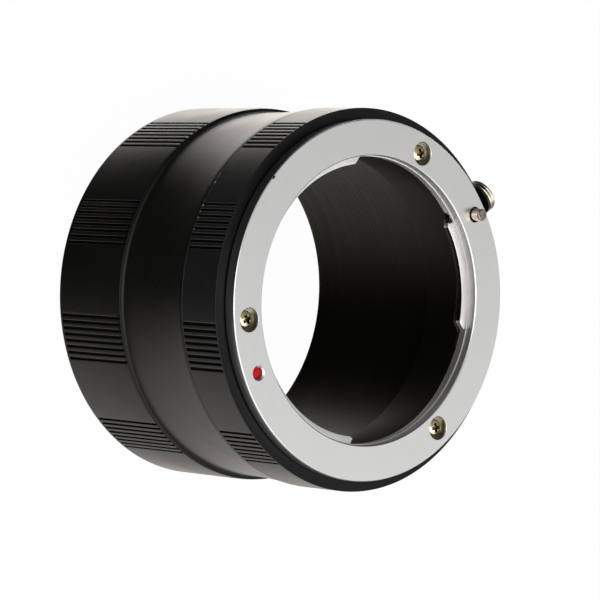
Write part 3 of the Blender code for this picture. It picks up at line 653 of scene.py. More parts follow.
# %% Dressing a piece
BORE_R = 29.0                    # faces nearer to the axis may belong to the bore
IN_BORE, ON_FACE_SHADED, ON_LIP, IN_GROOVE_SHADE = 1, 2, 3, 4
LIP_DEPTH = 0.35 * GROOVE_DEPTH


def grip_zone(face):
    """ON_LIP for a lip of a grip groove, the floor's index for its floor, which takes painted shade, and 0
    for all else.
    """
    centre = face.center / MM
    radius = polar(centre)[1]
    across = abs(face.normal.y * centre.x - face.normal.x * centre.y) / radius
    waist = REAR_GRIP_HIGH < centre.z < TUBE_END_Z
    if waist or radius < BARREL_R - GROOVE_DEPTH - 0.02 or abs(face.normal.z) > 0.5:
        return 0
    if across > 0.22 and radius > BARREL_R - LIP_DEPTH:
        return ON_LIP
    return IN_GROOVE_SHADE if radius < BARREL_R - LIP_DEPTH else 0


def dress(piece, finish, slot_name, *nodes, body="tube", corner=28):
    """Give a finished piece its material and its body, and hide the solids it stands for. Its slot name is
    not used.
    """
    piece.data.materials.clear()
    piece.data.materials.append(finish)
    piece.data.polygons.foreach_set("material_index", [0] * len(piece.data.polygons))
    if finish in (BLACK_TUBE, BLACK_RING):
        bore = BLACK_BORE if finish == BLACK_TUBE else RING_BORE
        for part in (bore, SHADE_BLACK, BLACK_LIP, GROOVE_FLOOR_SHADE):
            piece.data.materials.append(part)
        for face in piece.data.polygons:
            x, y, normal = face.center.x, face.center.y, face.normal
            if normal.x * x + normal.y * y < -0.3 * BORE_R * MM and hypot(x, y) < BORE_R * MM:
                face.material_index = IN_BORE
            else:
                # Faces that look up take the darker black as painted shade.
                face.material_index = ON_FACE_SHADED if normal.z > 0.8 else grip_zone(face)
    piece.data.shade_smooth()
    piece.data.set_sharp_from_angle(angle=radians(corner))
    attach(piece, body)
    if nodes:
        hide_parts(*nodes)
    print(f"{piece.name}: {len(piece.data.polygons)} faces")


def refinish(piece, finish, chosen):
    """Give another finish to the faces that a test picks."""
    piece.data.materials.append(finish)
    for face in piece.data.polygons:
        if chosen(face):
            face.material_index = len(piece.data.materials) - 1


# %% [markdown]
# ## The tube
#
# One turned piece: the rear grip ring, a shoulder of two bevels, a narrow waist that flares
# softly up to the seam, and a wide bore. Its section is a list of points, so every step of the
# real one is a line of numbers. The bore is drawn right up to the ring in front, where the real
# ones screw together and leave no gap.

# %% Turning the tube
NECK_R = BARREL_R - 0.78
TUBE_BORE_R = 27.5
SHOULDER_Z = 15.85
SEAM_Z = TUBE_END_Z + 0.2
SEAM_SLIT = 0.02
FLARE_LOW = TUBE_END_Z - 14.0
FLARE_HIGH = TUBE_END_Z - 0.3
FLARE_STEPS = 24
FLARE_POWER = 2.2
SOCKET_R = TUBE_BORE_R + 1.0
SOCKET_FLOOR_Z = SPIGOT_END_Z - 0.02
REAR_CHAMFER = 0.6
FINE_EDGE = 0.12
GRIP_INSET = 1.15                # the grooves start this far from the rear end

flare_line = [
    (NECK_R + (BARREL_R - NECK_R) * (1 - i / FLARE_STEPS) ** FLARE_POWER,
     FLARE_HIGH + (FLARE_LOW - FLARE_HIGH) * i / FLARE_STEPS)
    for i in range(FLARE_STEPS + 1)]
shoulder_line = [
    (NECK_R, SHOULDER_Z + 1.6), (NECK_R + 0.05, SHOULDER_Z + 1.35), (BARREL_R - 0.45, SHOULDER_Z + 1.03),
    (BARREL_R - 0.10, SHOULDER_Z + 0.93), (BARREL_R, SHOULDER_Z)]
tube_section = [(SOCKET_R, SEAM_Z - SEAM_SLIT), (BARREL_R - 0.02, SEAM_Z - SEAM_SLIT)]
tube_section += flare_line + shoulder_line
tube_section += [
    (BARREL_R, REAR_CHAMFER), (BARREL_R - REAR_CHAMFER, 0.0), (TUBE_BORE_R, 0.0),
    (TUBE_BORE_R, SOCKET_FLOOR_Z), (SOCKET_R, SOCKET_FLOOR_Z)]
tube_piece = turned("turned_tube", soften(tube_section, FINE_EDGE))
mill_grip(tube_piece, GRIP_INSET, REAR_GRIP_HIGH)
dress(tube_piece, BLACK_TUBE, "black_tube", "extension_tube")

# %% [markdown]
# ## Ribs and threads in the bore
#
# A smooth black bore would still mirror light into the camera at a shallow angle, so makers cut
# a fine thread into the wall. The next tube screws into a finer one at the rear end. Both are
# helices half sunk in the wall, with four-sided sections.

# %% Threads in the bore
THREAD_R = TUBE_BORE_R + 0.02
THREAD_STEPS = 120


def wall_thread(name, pitch, low, high, size):
    """A thread on the inside of the bore, from one height to another."""
    piece = wound(name, (high - low) / pitch, THREAD_STEPS, THREAD_R, high - low, size, 4,
                  (0.0, 0.0, low * MM), RIB_HIGHLIGHT_BLACK)
    dress(piece, RIB_HIGHLIGHT_BLACK, "black_tube")


wall_thread("bore_ribs", 1.0, 6.0, SPIGOT_END_Z - 0.6, 0.035)
wall_thread("rear_thread", 0.5, 0.7, 5.6, 0.04)

# %% [markdown]
# ## The ring in front
#
# The second black ring has the same grip, and it carries the bayonet, the lock pin and the
# release knob. The pin's bore and the slot for the knob's stem are cut as on the real one, since
# both show past the pin and the knob.

# %% Turning the front ring
MOUNT_BORE_R = 24.8
SPIGOT_R = 28.2
COUNTERBORE_R = 25.55
RING_FLOOR_Z = COLLAR_REAR_Z - 0.3
RING_EDGE = 0.10
PIN_BORE_R = 1.8
PIN_BORE_FLOOR_Z = 34.0
KNOB_Z = FACE_Z - 4.0
PIN_TRAVEL = 2.1
SLOT_HALF = 0.9

ring_section = [
    (COUNTERBORE_R, RING_FACE_Z), (BARREL_R, RING_FACE_Z), (BARREL_R, SEAM_Z), (SPIGOT_R, SEAM_Z),
    (SPIGOT_R, SPIGOT_END_Z), (MOUNT_BORE_R, SPIGOT_END_Z), (MOUNT_BORE_R, RING_FLOOR_Z),
    (COUNTERBORE_R, RING_FLOOR_Z)]
ring_piece = turned("grip_ring", soften(ring_section, RING_EDGE))
mill_grip(ring_piece, SEAM_Z + 0.12, RING_FACE_Z - 0.15)

pin_bore_section = [
    (0.0, RING_FACE_Z + 1.0), (PIN_BORE_R, RING_FACE_Z + 1.0), (PIN_BORE_R, PIN_BORE_FLOOR_Z),
    (0.0, PIN_BORE_FLOOR_Z)]
pin_bore = turned("pin_bore_tool", pin_bore_section, 48, False)
carve(ring_piece, set_out(pin_bore, PIN_AZIMUTH, PIN_CIRCLE_R))

slot_line = arc_line(0.0, KNOB_Z, SLOT_HALF, SLOT_HALF, -90, 90, 10)
slot_line += arc_line(0.0, KNOB_Z - PIN_TRAVEL, SLOT_HALF, SLOT_HALF, 90, 270, 10)
slot_tool = plate("slot_tool", slot_line, PIN_CIRCLE_R, BARREL_R + 1.0)
outward = Matrix(((0, 0, 1), (1, 0, 0), (0, 1, 0))).to_4x4()
slot_tool.data.transform(about_z(PIN_AZIMUTH) @ outward)
carve(ring_piece, slot_tool)
dress(ring_piece, BLACK_RING, "black_ring", "mount_ring")


# %% [markdown]
# The rear edge of this ring has lost a few flecks of its dye. Each fleck is a tiny flattened
# lens of bare metal, half sunk in the edge. The four large ones lie where the photograph shows
# them, and a fixed random row of small ones is spread between.

# %% Chipping the edge of the ring
FLECK_THICKNESS = 0.012


def flecks(name, spots):
    """Flattened lenses on the barrel from (azimuth, height, radius) rows."""
    bm = bmesh.new()
    for azimuth, z, radius in spots:
        place = Matrix.Translation(around(azimuth, BARREL_R, z)) @ about_z(azimuth)
        squeeze = Matrix.Diagonal((FLECK_THICKNESS * MM, radius * MM, radius * MM, 1.0))
        bmesh.ops.create_icosphere(bm, subdivisions=2, radius=1.0, matrix=place @ squeeze)
    return new_piece(name, bm)


chance = random.Random(12)
chips = [(156.65, SEAM_Z + 0.28, 0.13), (164.65, SEAM_Z + 0.18, 0.16), (166.7, SEAM_Z + 0.15, 0.10),
         (168.65, SEAM_Z + 0.20, 0.11)]
for small in range(34):
    chips.append((
        chance.uniform(153.0, 173.0), SEAM_Z + chance.uniform(0.06, 0.16), chance.uniform(0.03, 0.06)))
dress(flecks("edge_flecks", chips), BARE_EDGE, "black_ring")

# %% [markdown]
# ## The bayonet flange
#
# The chromed flange is the precise part: the lens rests on its face, and the lens tabs turn
# behind its three claws. It is turned first, then the claws are added as thin bevelled plates
# whose ends run softly into the wall, and then the pockets of the leaf springs, the relief at
# the end of each claw and all the holes are cut, in the order a workshop would.

# %% Turning the flange
THROAT_R = 24.2
COLLAR_R = 25.3
FLANGE_BACK_Z = RING_FACE_Z + 0.24
RIM_CHAMFER = 0.13
THROAT_CHAMFER = 0.16
WALL_STEP = 0.16                 # the throat is narrower by this below the lens's rim
WALL_STEP_Z = FACE_Z - 1.55
FLANGE_EDGE = 0.035
CLAW_R = 22.8
CLAW_FRONT_Z = FACE_Z - 2.0
CLAW_REAR_Z = CLAW_FRONT_Z - 1.1
CLAW_BEVEL = 0.14
POCKET_TOP_Z = CLAW_REAR_Z - 0.05
CLAW_RAMP = 5.0
CLAWS = ((PIN_AZIMUTH - 41.0, PIN_AZIMUTH + 0.8), (PIN_AZIMUTH + 65.2, PIN_AZIMUTH + 113.0),
         (PIN_AZIMUTH + 182.0, PIN_AZIMUTH + 232.2))

flange_section = [
    (THROAT_R + THROAT_CHAMFER, FACE_Z), (FLANGE_R - RIM_CHAMFER, FACE_Z),
    (FLANGE_R, FACE_Z - RIM_CHAMFER), (FLANGE_R, FLANGE_BACK_Z), (COLLAR_R, FLANGE_BACK_Z),
    (COLLAR_R, COLLAR_REAR_Z),
    (THROAT_R + 0.4, COLLAR_REAR_Z), (THROAT_R - WALL_STEP, COLLAR_REAR_Z + 0.9),
    (THROAT_R - WALL_STEP, WALL_STEP_Z), (THROAT_R, WALL_STEP_Z), (THROAT_R, FACE_Z - THROAT_CHAMFER)]
flange_piece = turned("claw_flange", soften(flange_section, FLANGE_EDGE, steps=2))


def claw_line(first, last):
    """Outline of a claw: an arc whose ends fair into the throat wall."""
    root = (THROAT_R + COLLAR_R) / 2
    buried = THROAT_R + (root - THROAT_R) / 2
    span = last - first + 2 * CLAW_RAMP
    steps = 72
    inner = []
    for i in range(steps + 1):
        azimuth = first - CLAW_RAMP + span * i / steps
        inside = min(azimuth - first, last - azimuth) / CLAW_RAMP + 1.0
        inner.append(flat_arc(azimuth, buried + (CLAW_R - buried) * ramp(inside)))
    return inner + [flat_arc(last + CLAW_RAMP - span * i / steps, root) for i in range(steps + 1)]


def pocket_line(first, last, inner, outer):
    """Outline of a part of a ring between two angles and two radii."""
    steps = 48
    angles = [first + (last - first) * i / steps for i in range(steps + 1)]
    return [flat_arc(a, outer) for a in angles] + [flat_arc(a, inner) for a in reversed(angles)]


for first, last in CLAWS:
    claw = plate("claw", claw_line(first, last), CLAW_REAR_Z, CLAW_FRONT_Z, CLAW_BEVEL)
    carve(flange_piece, claw, "UNION")
for first, last in CLAWS:
    line = pocket_line(first - CLAW_RAMP - 7.0, last + 3.0, CLAW_R - 0.3, COLLAR_R + 0.3)
    carve(flange_piece, plate("pocket", line, COLLAR_REAR_Z - 1.0, POCKET_TOP_Z))
print(flange_piece.name, "with claws has", len(flange_piece.data.polygons), "faces")

# %% [markdown]
# Holes are cut with turned tools whose top edge is flared, so each hole gets the small
# countersink that a drill leaves. The same function makes the tool for the pin, the dot, the
# three counterbores and the reliefs.

# %% Drilling the flange
SCREW_CIRCLE_R = 27.0
SCREW_AZIMUTHS = [PIN_AZIMUTH + 34.5 + 120.0 * i for i in range(3)]
HEAD_SEAT_Z = FACE_Z - 1.45
HEAD_HOLE_R = 1.98
SHANK_HOLE_R = 1.2
RELIEF_R = 1.0


def drill(azimuth, circle, steps):
    """Cut a stepped round hole. The steps are (radius, height) points from the top down."""
    section = [(0.0, steps[0][1])] + steps + [(0.0, steps[-1][1])]
    carve(flange_piece, set_out(turned("drill", section, 64, False), azimuth, circle))


def countersunk(radius, lip, floor):
    """Points of a hole from above the face to its floor, with a small countersink."""
    wide = radius + lip
    return [(wide, FACE_Z + 1.0), (wide, FACE_Z + 0.001), (radius, FACE_Z - lip), (radius, floor)]


for first, last in CLAWS:
    drill(last + 3.0, THROAT_R - 0.2, [(RELIEF_R, CLAW_FRONT_Z + 0.05), (RELIEF_R, COLLAR_REAR_Z - 1.0)])
drill(PIN_AZIMUTH, PIN_CIRCLE_R, countersunk(1.32, 0.06, FLANGE_BACK_Z - 1.0))
drill(DOT_AZIMUTH, DOT_CIRCLE_R, countersunk(1.03, 0.26, FACE_Z - 1.0))
for azimuth in SCREW_AZIMUTHS:
    drill(azimuth, SCREW_CIRCLE_R, countersunk(HEAD_HOLE_R, 0.06, HEAD_SEAT_Z) + [
        (SHANK_HOLE_R, HEAD_SEAT_Z), (SHANK_HOLE_R, FLANGE_BACK_Z - 1.0)])
print("drilled", len(CLAWS), "reliefs and", len(SCREW_AZIMUTHS) + 2, "holes")

# %% [markdown]
# Something hard once struck the flange and left a tiny nick beside its rim. It could be painted,
# but a real dent has an edge that catches light, so it is cut. Then each face gets its finish:
# tarnish in the counterbores, worn chrome in the throat and on the claws, and black on the
# claws' inner edges, which makers blacken against glare, and on the nick's floor.

# %% The nick, and the flange's finishes
NICK_AZIMUTH = 151.1
NICK_CIRCLE_R = FLANGE_R - 0.22
NICK_TURN = 61.0
NICK_DEPTH = 0.20
NICK_LINE = [(-0.40, -0.12), (0.28, -0.18), (0.42, 0.02), (0.10, 0.19), (-0.34, 0.13)]
IN_COUNTERBORE, IN_THROAT, SHADED_BLACK_SPOT = 1, 2, 3

nick = plate("nick", NICK_LINE, -NICK_DEPTH, 1.0)
nick.data.transform(Matrix.Translation(around(NICK_AZIMUTH, NICK_CIRCLE_R, FACE_Z)) @ about_z(NICK_TURN))
carve(flange_piece, nick)
dress(flange_piece, CHROME, "chrome", "bayonet_flange")
for finish in (TARNISH_AND_SHADE, WORN_CHROME, SHADE_BLACK):
    flange_piece.data.materials.append(finish)


def off_screws(spot):
    """Distance from a point of the flange to the nearest screw's centre."""
    return min(dist(spot.xy, flat_arc(azimuth, SCREW_CIRCLE_R)) for azimuth in SCREW_AZIMUTHS)


nick_spot = flat_arc(NICK_AZIMUTH, NICK_CIRCLE_R)
# Counterbores take tarnish with painted shade, and the claws' inner edges and the nick's floor take black as
# painted shade.
for face in flange_piece.data.polygons:
    centre = face.center / MM
    radius = polar(centre)[1]
    depth = FACE_Z - centre.z
    if off_screws(centre) < HEAD_HOLE_R + 0.04 and depth > 0.08:
        face.material_index = IN_COUNTERBORE
    elif radius < CLAW_R + 0.03 and abs(face.normal.z) < 0.5:
        face.material_index = SHADED_BLACK_SPOT
    elif radius < THROAT_R + 0.03 and depth > 0.2:
        face.material_index = IN_THROAT
    elif dist(centre.xy, nick_spot) < 0.8 and 0.02 < depth < 0.3 and face.normal.z > 0.95:
        face.material_index = SHADED_BLACK_SPOT

# %% [markdown]
# ## The flange screws
#
# Three small domed screws with a cross recess hold the flange. One is turned, its recess is cut
# with a tapered cross, and the tree sets three of them on their circle with a random turn.

# %% Making and copying a screw
HEAD_R = 1.50
HEAD_BASE_Z = HEAD_SEAT_Z + 0.02
HEAD_SIDE_Z = HEAD_BASE_Z + 0.20
HEAD_DOME = 0.78
SHANK_R = 0.9
SHANK_END_Z = HEAD_BASE_Z - 4.2
CROSS_DEPTH = 0.70
CROSS_FOOT = (0.62, 0.19)        # half length and half width of the cross's arms
CROSS_MOUTH = (1.00, 0.36)

screw_section = arc_line(0.0, HEAD_SIDE_Z, HEAD_R, HEAD_DOME, 0, 90, 6) + [
    (HEAD_R, HEAD_BASE_Z), (SHANK_R, HEAD_BASE_Z), (SHANK_R, SHANK_END_Z + 0.2),
    (SHANK_R - 0.2, SHANK_END_Z), (0.0, SHANK_END_Z)]
screws = turned("cross_screws", screw_section, 64, False)


def cross_tool(top):
    """A tapered cross, wide above and narrow at its foot, as a driver's tip is."""
    bm = bmesh.new()
    layers = []
    for z, (half, arm) in ((top - CROSS_DEPTH, CROSS_FOOT), (top + 0.3, CROSS_MOUTH)):
        corners = []
        for quarter in range(4):
            spin = Matrix.Rotation(radians(90 * quarter), 2)
            corners += [spin @ Vector(corner) for corner in ((half, -arm), (half, arm), (arm, arm))]
        layers.append([bm.verts.new((x * MM, y * MM, z * MM)) for x, y in corners])
    low, high = layers
    bm.faces.new(low)
    bm.faces.new(high)
    for i in range(len(low)):
        j = (i + 1) % len(low)
        bm.faces.new((low[i], low[j], high[j], high[i]))
    return new_piece("cross_tool", bm)


carve(screws, cross_tool(HEAD_SIDE_Z + HEAD_DOME))
run_tree(screws, COPIES, {
    "Patches": 3, "In patch": 1, "Pitch": 0.0, "First angle": radians(SCREW_AZIMUTHS[0]),
    "Radius": SCREW_CIRCLE_R * MM, "Random turn": pi, "Seed": 4, "Finish": BRASS})
dress(screws, BRASS, "screw", "flange_screw_1", "flange_screw_2", "flange_screw_3", corner=40)


def in_recess(face):
    """Whether a face lies in the cross, below the dome."""
    centre = face.center / MM
    out = off_screws(centre)
    dome_z = HEAD_SIDE_Z + HEAD_DOME * sqrt(max(0.0, 1.0 - (out / HEAD_R) ** 2))
    return out < 1.2 and HEAD_SIDE_Z < centre.z < dome_z - 0.04


# The cross recess takes the dark finish as painted shade.
refinish(screws, RECESS_SHADE, in_recess)

# %% [markdown]
# ## The red dot
#
# The dot shows where to set the lens. It is a drop of enamel on the floor of its hole: domed in
# the middle and drawn up a little at the wall.

# %% Filling the dot
DOT_R = 1.00
dot_floor = FACE_Z - 0.99
dot_line = [
    (0.0, dot_floor + 0.44), (0.45, dot_floor + 0.42), (0.75, dot_floor + 0.37), (0.90, dot_floor + 0.32),
    (DOT_R, dot_floor + 0.35), (DOT_R, dot_floor), (0.0, dot_floor)]
dot_piece = turned("enamel_dot", soften(dot_line, 0.12, False), 64, False)
set_out(dot_piece, DOT_AZIMUTH, DOT_CIRCLE_R)
dress(dot_piece, RED_ENAMEL, "red_enamel", "index_dot", corner=50)

# %% [markdown]
# ## The lock pin
#
# The pin snaps into a notch of the lens. Its rounded tip is turned and polished, and a wider
# body behind the flange stops it from coming out. A spring sits in the blind hole behind. Its
# flat end is painted darker, a painted shade.

# %% Turning the pin
TIP_R = 1.05
TIP_ROUND = 0.32
TIP_Z = FACE_Z + 1.9
BODY_R = 1.5
BODY_TOP_Z = FLANGE_BACK_Z - 0.3
PIN_REAR_Z = BODY_TOP_Z - 4.05
SEAT_R = 1.15
SEAT_Z = PIN_REAR_Z + 1.2

tip_line = arc_line(TIP_R - TIP_ROUND, TIP_Z - TIP_ROUND, TIP_ROUND, TIP_ROUND, 0, 90, 15)
pin_section = [(0.0, TIP_Z)] + tip_line + [
    (TIP_R, BODY_TOP_Z), (BODY_R, BODY_TOP_Z), (BODY_R, PIN_REAR_Z), (SEAT_R, PIN_REAR_Z), (SEAT_R, SEAT_Z),
    (0.0, SEAT_Z)]
pin_piece = turned("polished_pin", pin_section, 64, False)
set_out(pin_piece, PIN_AZIMUTH, PIN_CIRCLE_R)
dress(pin_piece, PIN_METAL, "pin", "lock_pin", body="release", corner=40)
# Painted shade: the flat end of the tip takes the darker finish.
refinish(pin_piece, PIN_END_SHADE, lambda face: face.center.z > (TIP_Z - 0.2) * MM and face.normal.z > 0.5)

# %% [markdown]
# ## The release knob
#
# Pulling the small knob back draws the pin into the flange. It is a black disc with two grooves
# round its edge for the fingertip, cut bright after the dyeing. On the side towards the lens its
# rim is bright metal, a painted highlight. A domed screw holds it, and its stem runs through the
# slot into the pin. Both are turned about the knob's own axis and then laid on their side.

# %% Turning the knob and its screw
KNOB_BASE = BARREL_R + 0.3 - PIN_CIRCLE_R
KNOB_HEIGHT = 1.65
KNOB_R = 2.9
KNOB_GROOVES = (0.28, 0.95)      # below the top
GROOVE_CUT = 0.09
HIGHLIGHT_FACING = 0.80
HIGHLIGHT_WIDTH = 1.0
STEM_R = 0.6
STEM_END = -0.6
knob_top = KNOB_BASE + KNOB_HEIGHT
to_side = (Matrix.Translation(around(PIN_AZIMUTH, PIN_CIRCLE_R, KNOB_Z))
           @ about_z(PIN_AZIMUTH) @ Matrix.Rotation(radians(90), 4, "Y"))

knob_section = [(STEM_R + 0.15, knob_top), (KNOB_R, knob_top)]
for below in KNOB_GROOVES:
    lip = knob_top - below
    knob_section += [(KNOB_R, lip), (KNOB_R - GROOVE_CUT, lip - 0.12), (KNOB_R, lip - 0.16)]
knob_section += [(KNOB_R, KNOB_BASE), (STEM_R + 0.15, KNOB_BASE)]
knob_piece = turned("grooved_knob", soften(knob_section, 0.03), 96)
cut_bright = {
    face.index for face in knob_piece.data.polygons
    if KNOB_R * MM * 0.5 < polar(face.center)[1] < (KNOB_R - 0.03) * MM and abs(face.normal.z) < 0.95}
knob_piece.data.transform(to_side)
dress(knob_piece, BLACK_KNOB, "black_knob", "release_knob", body="release")
highlight_edge = (PIN_CIRCLE_R + knob_top - HIGHLIGHT_WIDTH) * MM
# Painted highlight: rim faces that look towards the lens take the bright metal.
refinish(knob_piece, KNOB_METAL, lambda face: face.index in cut_bright or (
    polar(face.center)[1] > highlight_edge and face.normal.z > HIGHLIGHT_FACING))

KNOB_HEAD_R = 2.0
head_base = knob_top + 0.02
head_line = arc_line(0.0, head_base + 0.08, KNOB_HEAD_R, 0.28, 0, 90, 6)
knob_screw = turned("domed_knob_screw", head_line + [
    (KNOB_HEAD_R, head_base), (STEM_R, head_base), (STEM_R, STEM_END), (0.0, STEM_END)], 96, False)
knob_screw.data.transform(to_side)
dress(knob_screw, KNOB_METAL, "knob_screw", "release_knob_screw", body="release", corner=40)

# %% [markdown]
# ## The springs
#
# Behind each claw a thin leaf presses the lens tab rearwards, which draws the lens down onto the
# flange. Its lip shows past the claw's first end. The leaf is drawn as an outline and bowed a
# little away from the claw. The spring behind the pin is a wire on a helix, made by the same
# tree as the threads.

# %% Cutting the leaf springs
LEAF_THICK = 0.25
LEAF_TOP_Z = POCKET_TOP_Z - 0.25
LEAF_EDGE = 0.04
LIP_R = CLAW_R + 0.1
FOOT_R = COLLAR_R - 0.2
WAIST_R = THROAT_R + 0.4
FOOT_DEG = 5.0
LIP_DEG = 22.0
BOW = 0.3


def leaf_line(first, start, end):
    """Outline of a leaf: feet at both ends, and a lip that follows the claw's first end."""
    steps = 84
    outer = []
    inner = []
    for i in range(steps + 1):
        azimuth = start + (end - start) * i / steps
        slim = ramp(min(azimuth - start, end - azimuth) / FOOT_DEG * 2.0 - 1.0)
        outer.append(flat_arc(azimuth, FOOT_R + (WAIST_R - FOOT_R) * slim))
        if azimuth < first:
            lip = ramp((azimuth - first) / CLAW_RAMP + 1.0)
            edge = THROAT_R + 0.1
        else:
            lip = 1.0 - ramp((azimuth - first) / LIP_DEG)
            edge = THROAT_R - 0.4
        inner.append(flat_arc(azimuth, edge + (LIP_R - edge) * lip))
    return outer + inner[::-1]


for number, (first, last) in enumerate(CLAWS, 1):
    start = first - CLAW_RAMP - 6.0
    end = last + 2.0
    line = leaf_line(first, start, end)
    leaf = plate(f"thin_leaf_{number}", line, LEAF_TOP_Z - LEAF_THICK, LEAF_TOP_Z, LEAF_EDGE)
    foot = FOOT_DEG / (end - start)
    for vertex in leaf.data.vertices:
        along = ((polar(vertex.co)[0] - start) % 360.0) / (end - start)
        if foot < along < 1.0 - foot:
            vertex.co.z -= BOW * MM * sin(pi * (along - foot) / (1.0 - 2.0 * foot)) ** 2
    dress(leaf, LEAF_STEEL, "leaf", f"leaf_spring_{number}", corner=40)

# %% Winding the pin's spring
WIRE_R = 0.12
COIL_R = 0.82
coil = wound("pin_coil", 6.0, 24, COIL_R, spring_high.z - spring_low.z - 2 * WIRE_R, WIRE_R, 8,
             around(PIN_AZIMUTH, PIN_CIRCLE_R, spring_low.z + WIRE_R), SPRING_STEEL)
dress(coil, SPRING_STEEL, "spring", "lock_pin_spring", corner=60)
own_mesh(coil)

# %% [markdown]
# ## Floor
#
# The photograph has a white ground. More light would burn it out and the object with it, so the
# floor instead turns almost to plain white where the camera looks at it, and the world behind
# it is white to the camera. The small share that stays paint takes the object's soft shadow.

# %% The white floor
FLOOR_HALF = 3.0
FLOOR_Z = -0.05 * MM
FLOOR_GLOW = 0.975


def seen_directly(tree):
    """1 for camera, glossy and transmission rays, and 0 for the light that falls on things."""
    path = node(tree, "ShaderNodeLightPath").outputs
    both = calc(tree, "MAXIMUM", path["Is Camera Ray"], path["Is Glossy Ray"])
    return calc(tree, "MAXIMUM", both, path["Is Transmission Ray"])


floor_white, floor_tree, floor_shader = new_finish("floor_white", (0.86,) * 3, 0.9, Specular_IOR_Level=0)
glow = add(floor_tree, "ShaderNodeEmission", {"Strength": 1.0})
share = times(floor_tree, seen_directly(floor_tree), FLOOR_GLOW)
blend = add(floor_tree, "ShaderNodeMixShader", {0: share, 1: floor_shader.outputs[0], 2: glow})
floor_tree.links.new(blend, floor_tree.nodes["Material Output"].inputs["Surface"])
corners = [(x * FLOOR_HALF, y * FLOOR_HALF, FLOOR_Z) for x, y in ((-1, -1), (1, -1), (1, 1), (-1, 1))]
mesh = bpy.data.meshes.new("white_floor")
mesh.from_pydata(corners, [], [(0, 1, 2, 3)])
mesh.materials.append(floor_white)
floor = linked("white_floor", mesh)
floor.visible_glossy = False
print("the floor is white to the camera")

# %% [markdown]
# Metal shows what stands round it. In a room that is white all over, the black rings would turn
# grey and the flange flat. So the rays that metal mirrors see a small studio, which the world's
# background works out from their direction alone: a bright table whose light changes round the
# compass, dark walls with a darker far side, and a soft ceiling that fades towards one side and
# overhead. Its lower half is a little warm. The floor is hidden from those rays, so that the
# table shows instead. All other light from the world is an even grey.

# %% The studio that metal mirrors
WORLD_LIGHT = 0.45
WALL_LIGHT = 0.30
TABLE_LIGHT = 1.10
TABLE_CHANGES = (                # first and last degree of a change, and how much light it adds
    (0.0, 30.0, 1.20), (40.0, 52.0, 0.45), (52.0, 64.0, -0.60), (63.0, 114.0, -2.14),
    (188.0, 262.0, 1.09), (275.0, 318.0, -0.22), (322.0, 358.0, 0.22))
WARM_WHITE = (1.0, 0.945, 0.885)


def between(tree, factor, first, second):
    """A value between two values."""
    return add(tree, "ShaderNodeMix", {0: factor, 2: first, 3: second})


world = bpy.data.worlds.new("studio")
bpy.context.scene.world = world
world.use_nodes = True
studio = world.node_tree
ray = node(studio, "ShaderNodeTexCoord").outputs["Generated"]
x, y, z = node(studio, "ShaderNodeSeparateXYZ", {"Vector": ray}).outputs
compass = calc(studio, "ARCTAN2", times(studio, y, -1.0), times(studio, x, -1.0))
compass = plus(studio, times(studio, compass, 180 / pi), 180.0)

table = TABLE_LIGHT
for first, last, rise in TABLE_CHANGES:
    table = plus(studio, table, spread(studio, compass, first, last, 0.0, rise))
far_side = spread(studio, y, 0.5, 0.9, 1.0, 0.2)
walls = times(studio, far_side, WALL_LIGHT)
ceiling = far_side
for way, first, last, low, high in (
        (y, -0.15, 0.42, 1.29, 0.46), (x, 0.60, -0.55, 1.0, 1.45), (x, 0.63, 0.71, 1.0, 1.20),
        (z, 0.80, 0.94, 1.0, 0.5)):
    ceiling = times(studio, ceiling, spread(studio, way, first, last, low, high))
lower = between(studio, spread(studio, z, -0.45, 0.05), table, walls)
mirrored = between(studio, spread(studio, z, 0.25, 0.55), lower, ceiling)

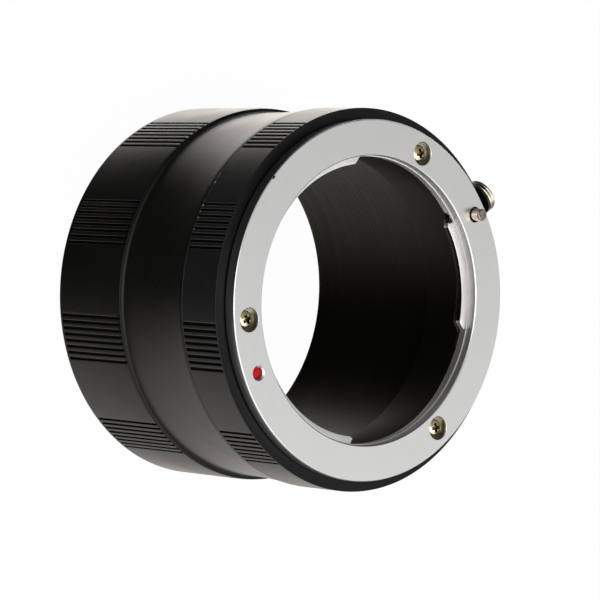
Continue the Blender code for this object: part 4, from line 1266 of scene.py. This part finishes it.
path = node(studio, "ShaderNodeLightPath").outputs
lit = between(studio, path["Is Glossy Ray"], WORLD_LIGHT, mirrored)
plain = calc(studio, "MAXIMUM", path["Is Camera Ray"], path["Is Transmission Ray"])
warmth = times(studio, path["Is Glossy Ray"], spread(studio, z, -0.2, 0.3, 1.0, 0.0))
sky = studio.nodes["Background"]
studio.links.new(between(studio, plain, lit, 1.0), sky.inputs["Strength"])
studio.links.new(mixed(studio, warmth, WHITE, WARM_WHITE), sky.inputs["Color"])
print(world.name, "has", len(studio.nodes), "nodes")

# %% [markdown]
# Two large soft lamps light the scene: a weak one beside the camera, which puts a bright line on
# every bevel that faces it, and a stronger one above and behind, which lays the soft shadow
# towards the camera.

# %% The lamps
def softbox(name, azimuth, elevation, distance, size, power):
    """A square area lamp that looks at the object."""
    lamp = bpy.data.lights.new(name, "AREA")
    lamp.shape = "SQUARE"
    lamp.size = size
    lamp.energy = power
    holder = linked(name, lamp)
    a, e = radians(azimuth), radians(elevation)
    away = Vector((cos(e) * cos(a), cos(e) * sin(a), sin(e)))
    holder.location = away * distance
    holder.rotation_euler = away.to_track_quat("Z", "Y").to_euler()
    holder.visible_camera = False
    print(name, "gives", power, "W")


softbox("front_softbox", 190.0, 52.0, 1.0, 0.5, 1.2)
softbox("back_softbox", 290.0, 68.0, 1.3, 1.0, 8.0)

# %% [markdown]
# ## Camera
#
# The photograph looks down at the front left of the tube with a long lens. The tube lies on its
# side there, so the camera is rolled by a quarter turn to show the standing model the same way.

# %% Setting the camera
AIM = Vector((2.051, -0.251, 23.751)) * MM
DISTANCE = 0.579365
FOCAL_LENGTH = 202.764
CAMERA_AZIMUTH = radians(-169.693)
CAMERA_ELEVATION = radians(48.406)
CAMERA_ROLL = radians(93.466)

level = cos(CAMERA_ELEVATION)
back = Vector((level * cos(CAMERA_AZIMUTH), level * sin(CAMERA_AZIMUTH), sin(CAMERA_ELEVATION)))
level_right = Vector((0, 0, 1)).cross(back).normalized()
level_up = back.cross(level_right)
right = level_right * cos(CAMERA_ROLL) + level_up * sin(CAMERA_ROLL)
up = back.cross(right)
lens = bpy.data.cameras.new("camera")
lens.lens = FOCAL_LENGTH
lens.sensor_width = 36.0
lens.clip_start = 0.01
lens.clip_end = 50.0
camera = linked("camera", lens)
facing = Matrix((right, up, back)).transposed().to_4x4()
camera.matrix_world = Matrix.Translation(AIM + back * DISTANCE) @ facing
bpy.context.scene.camera = camera
bpy.context.scene.view_settings.view_transform = "Standard"
print("camera at", [round(value, 4) for value in camera.location])
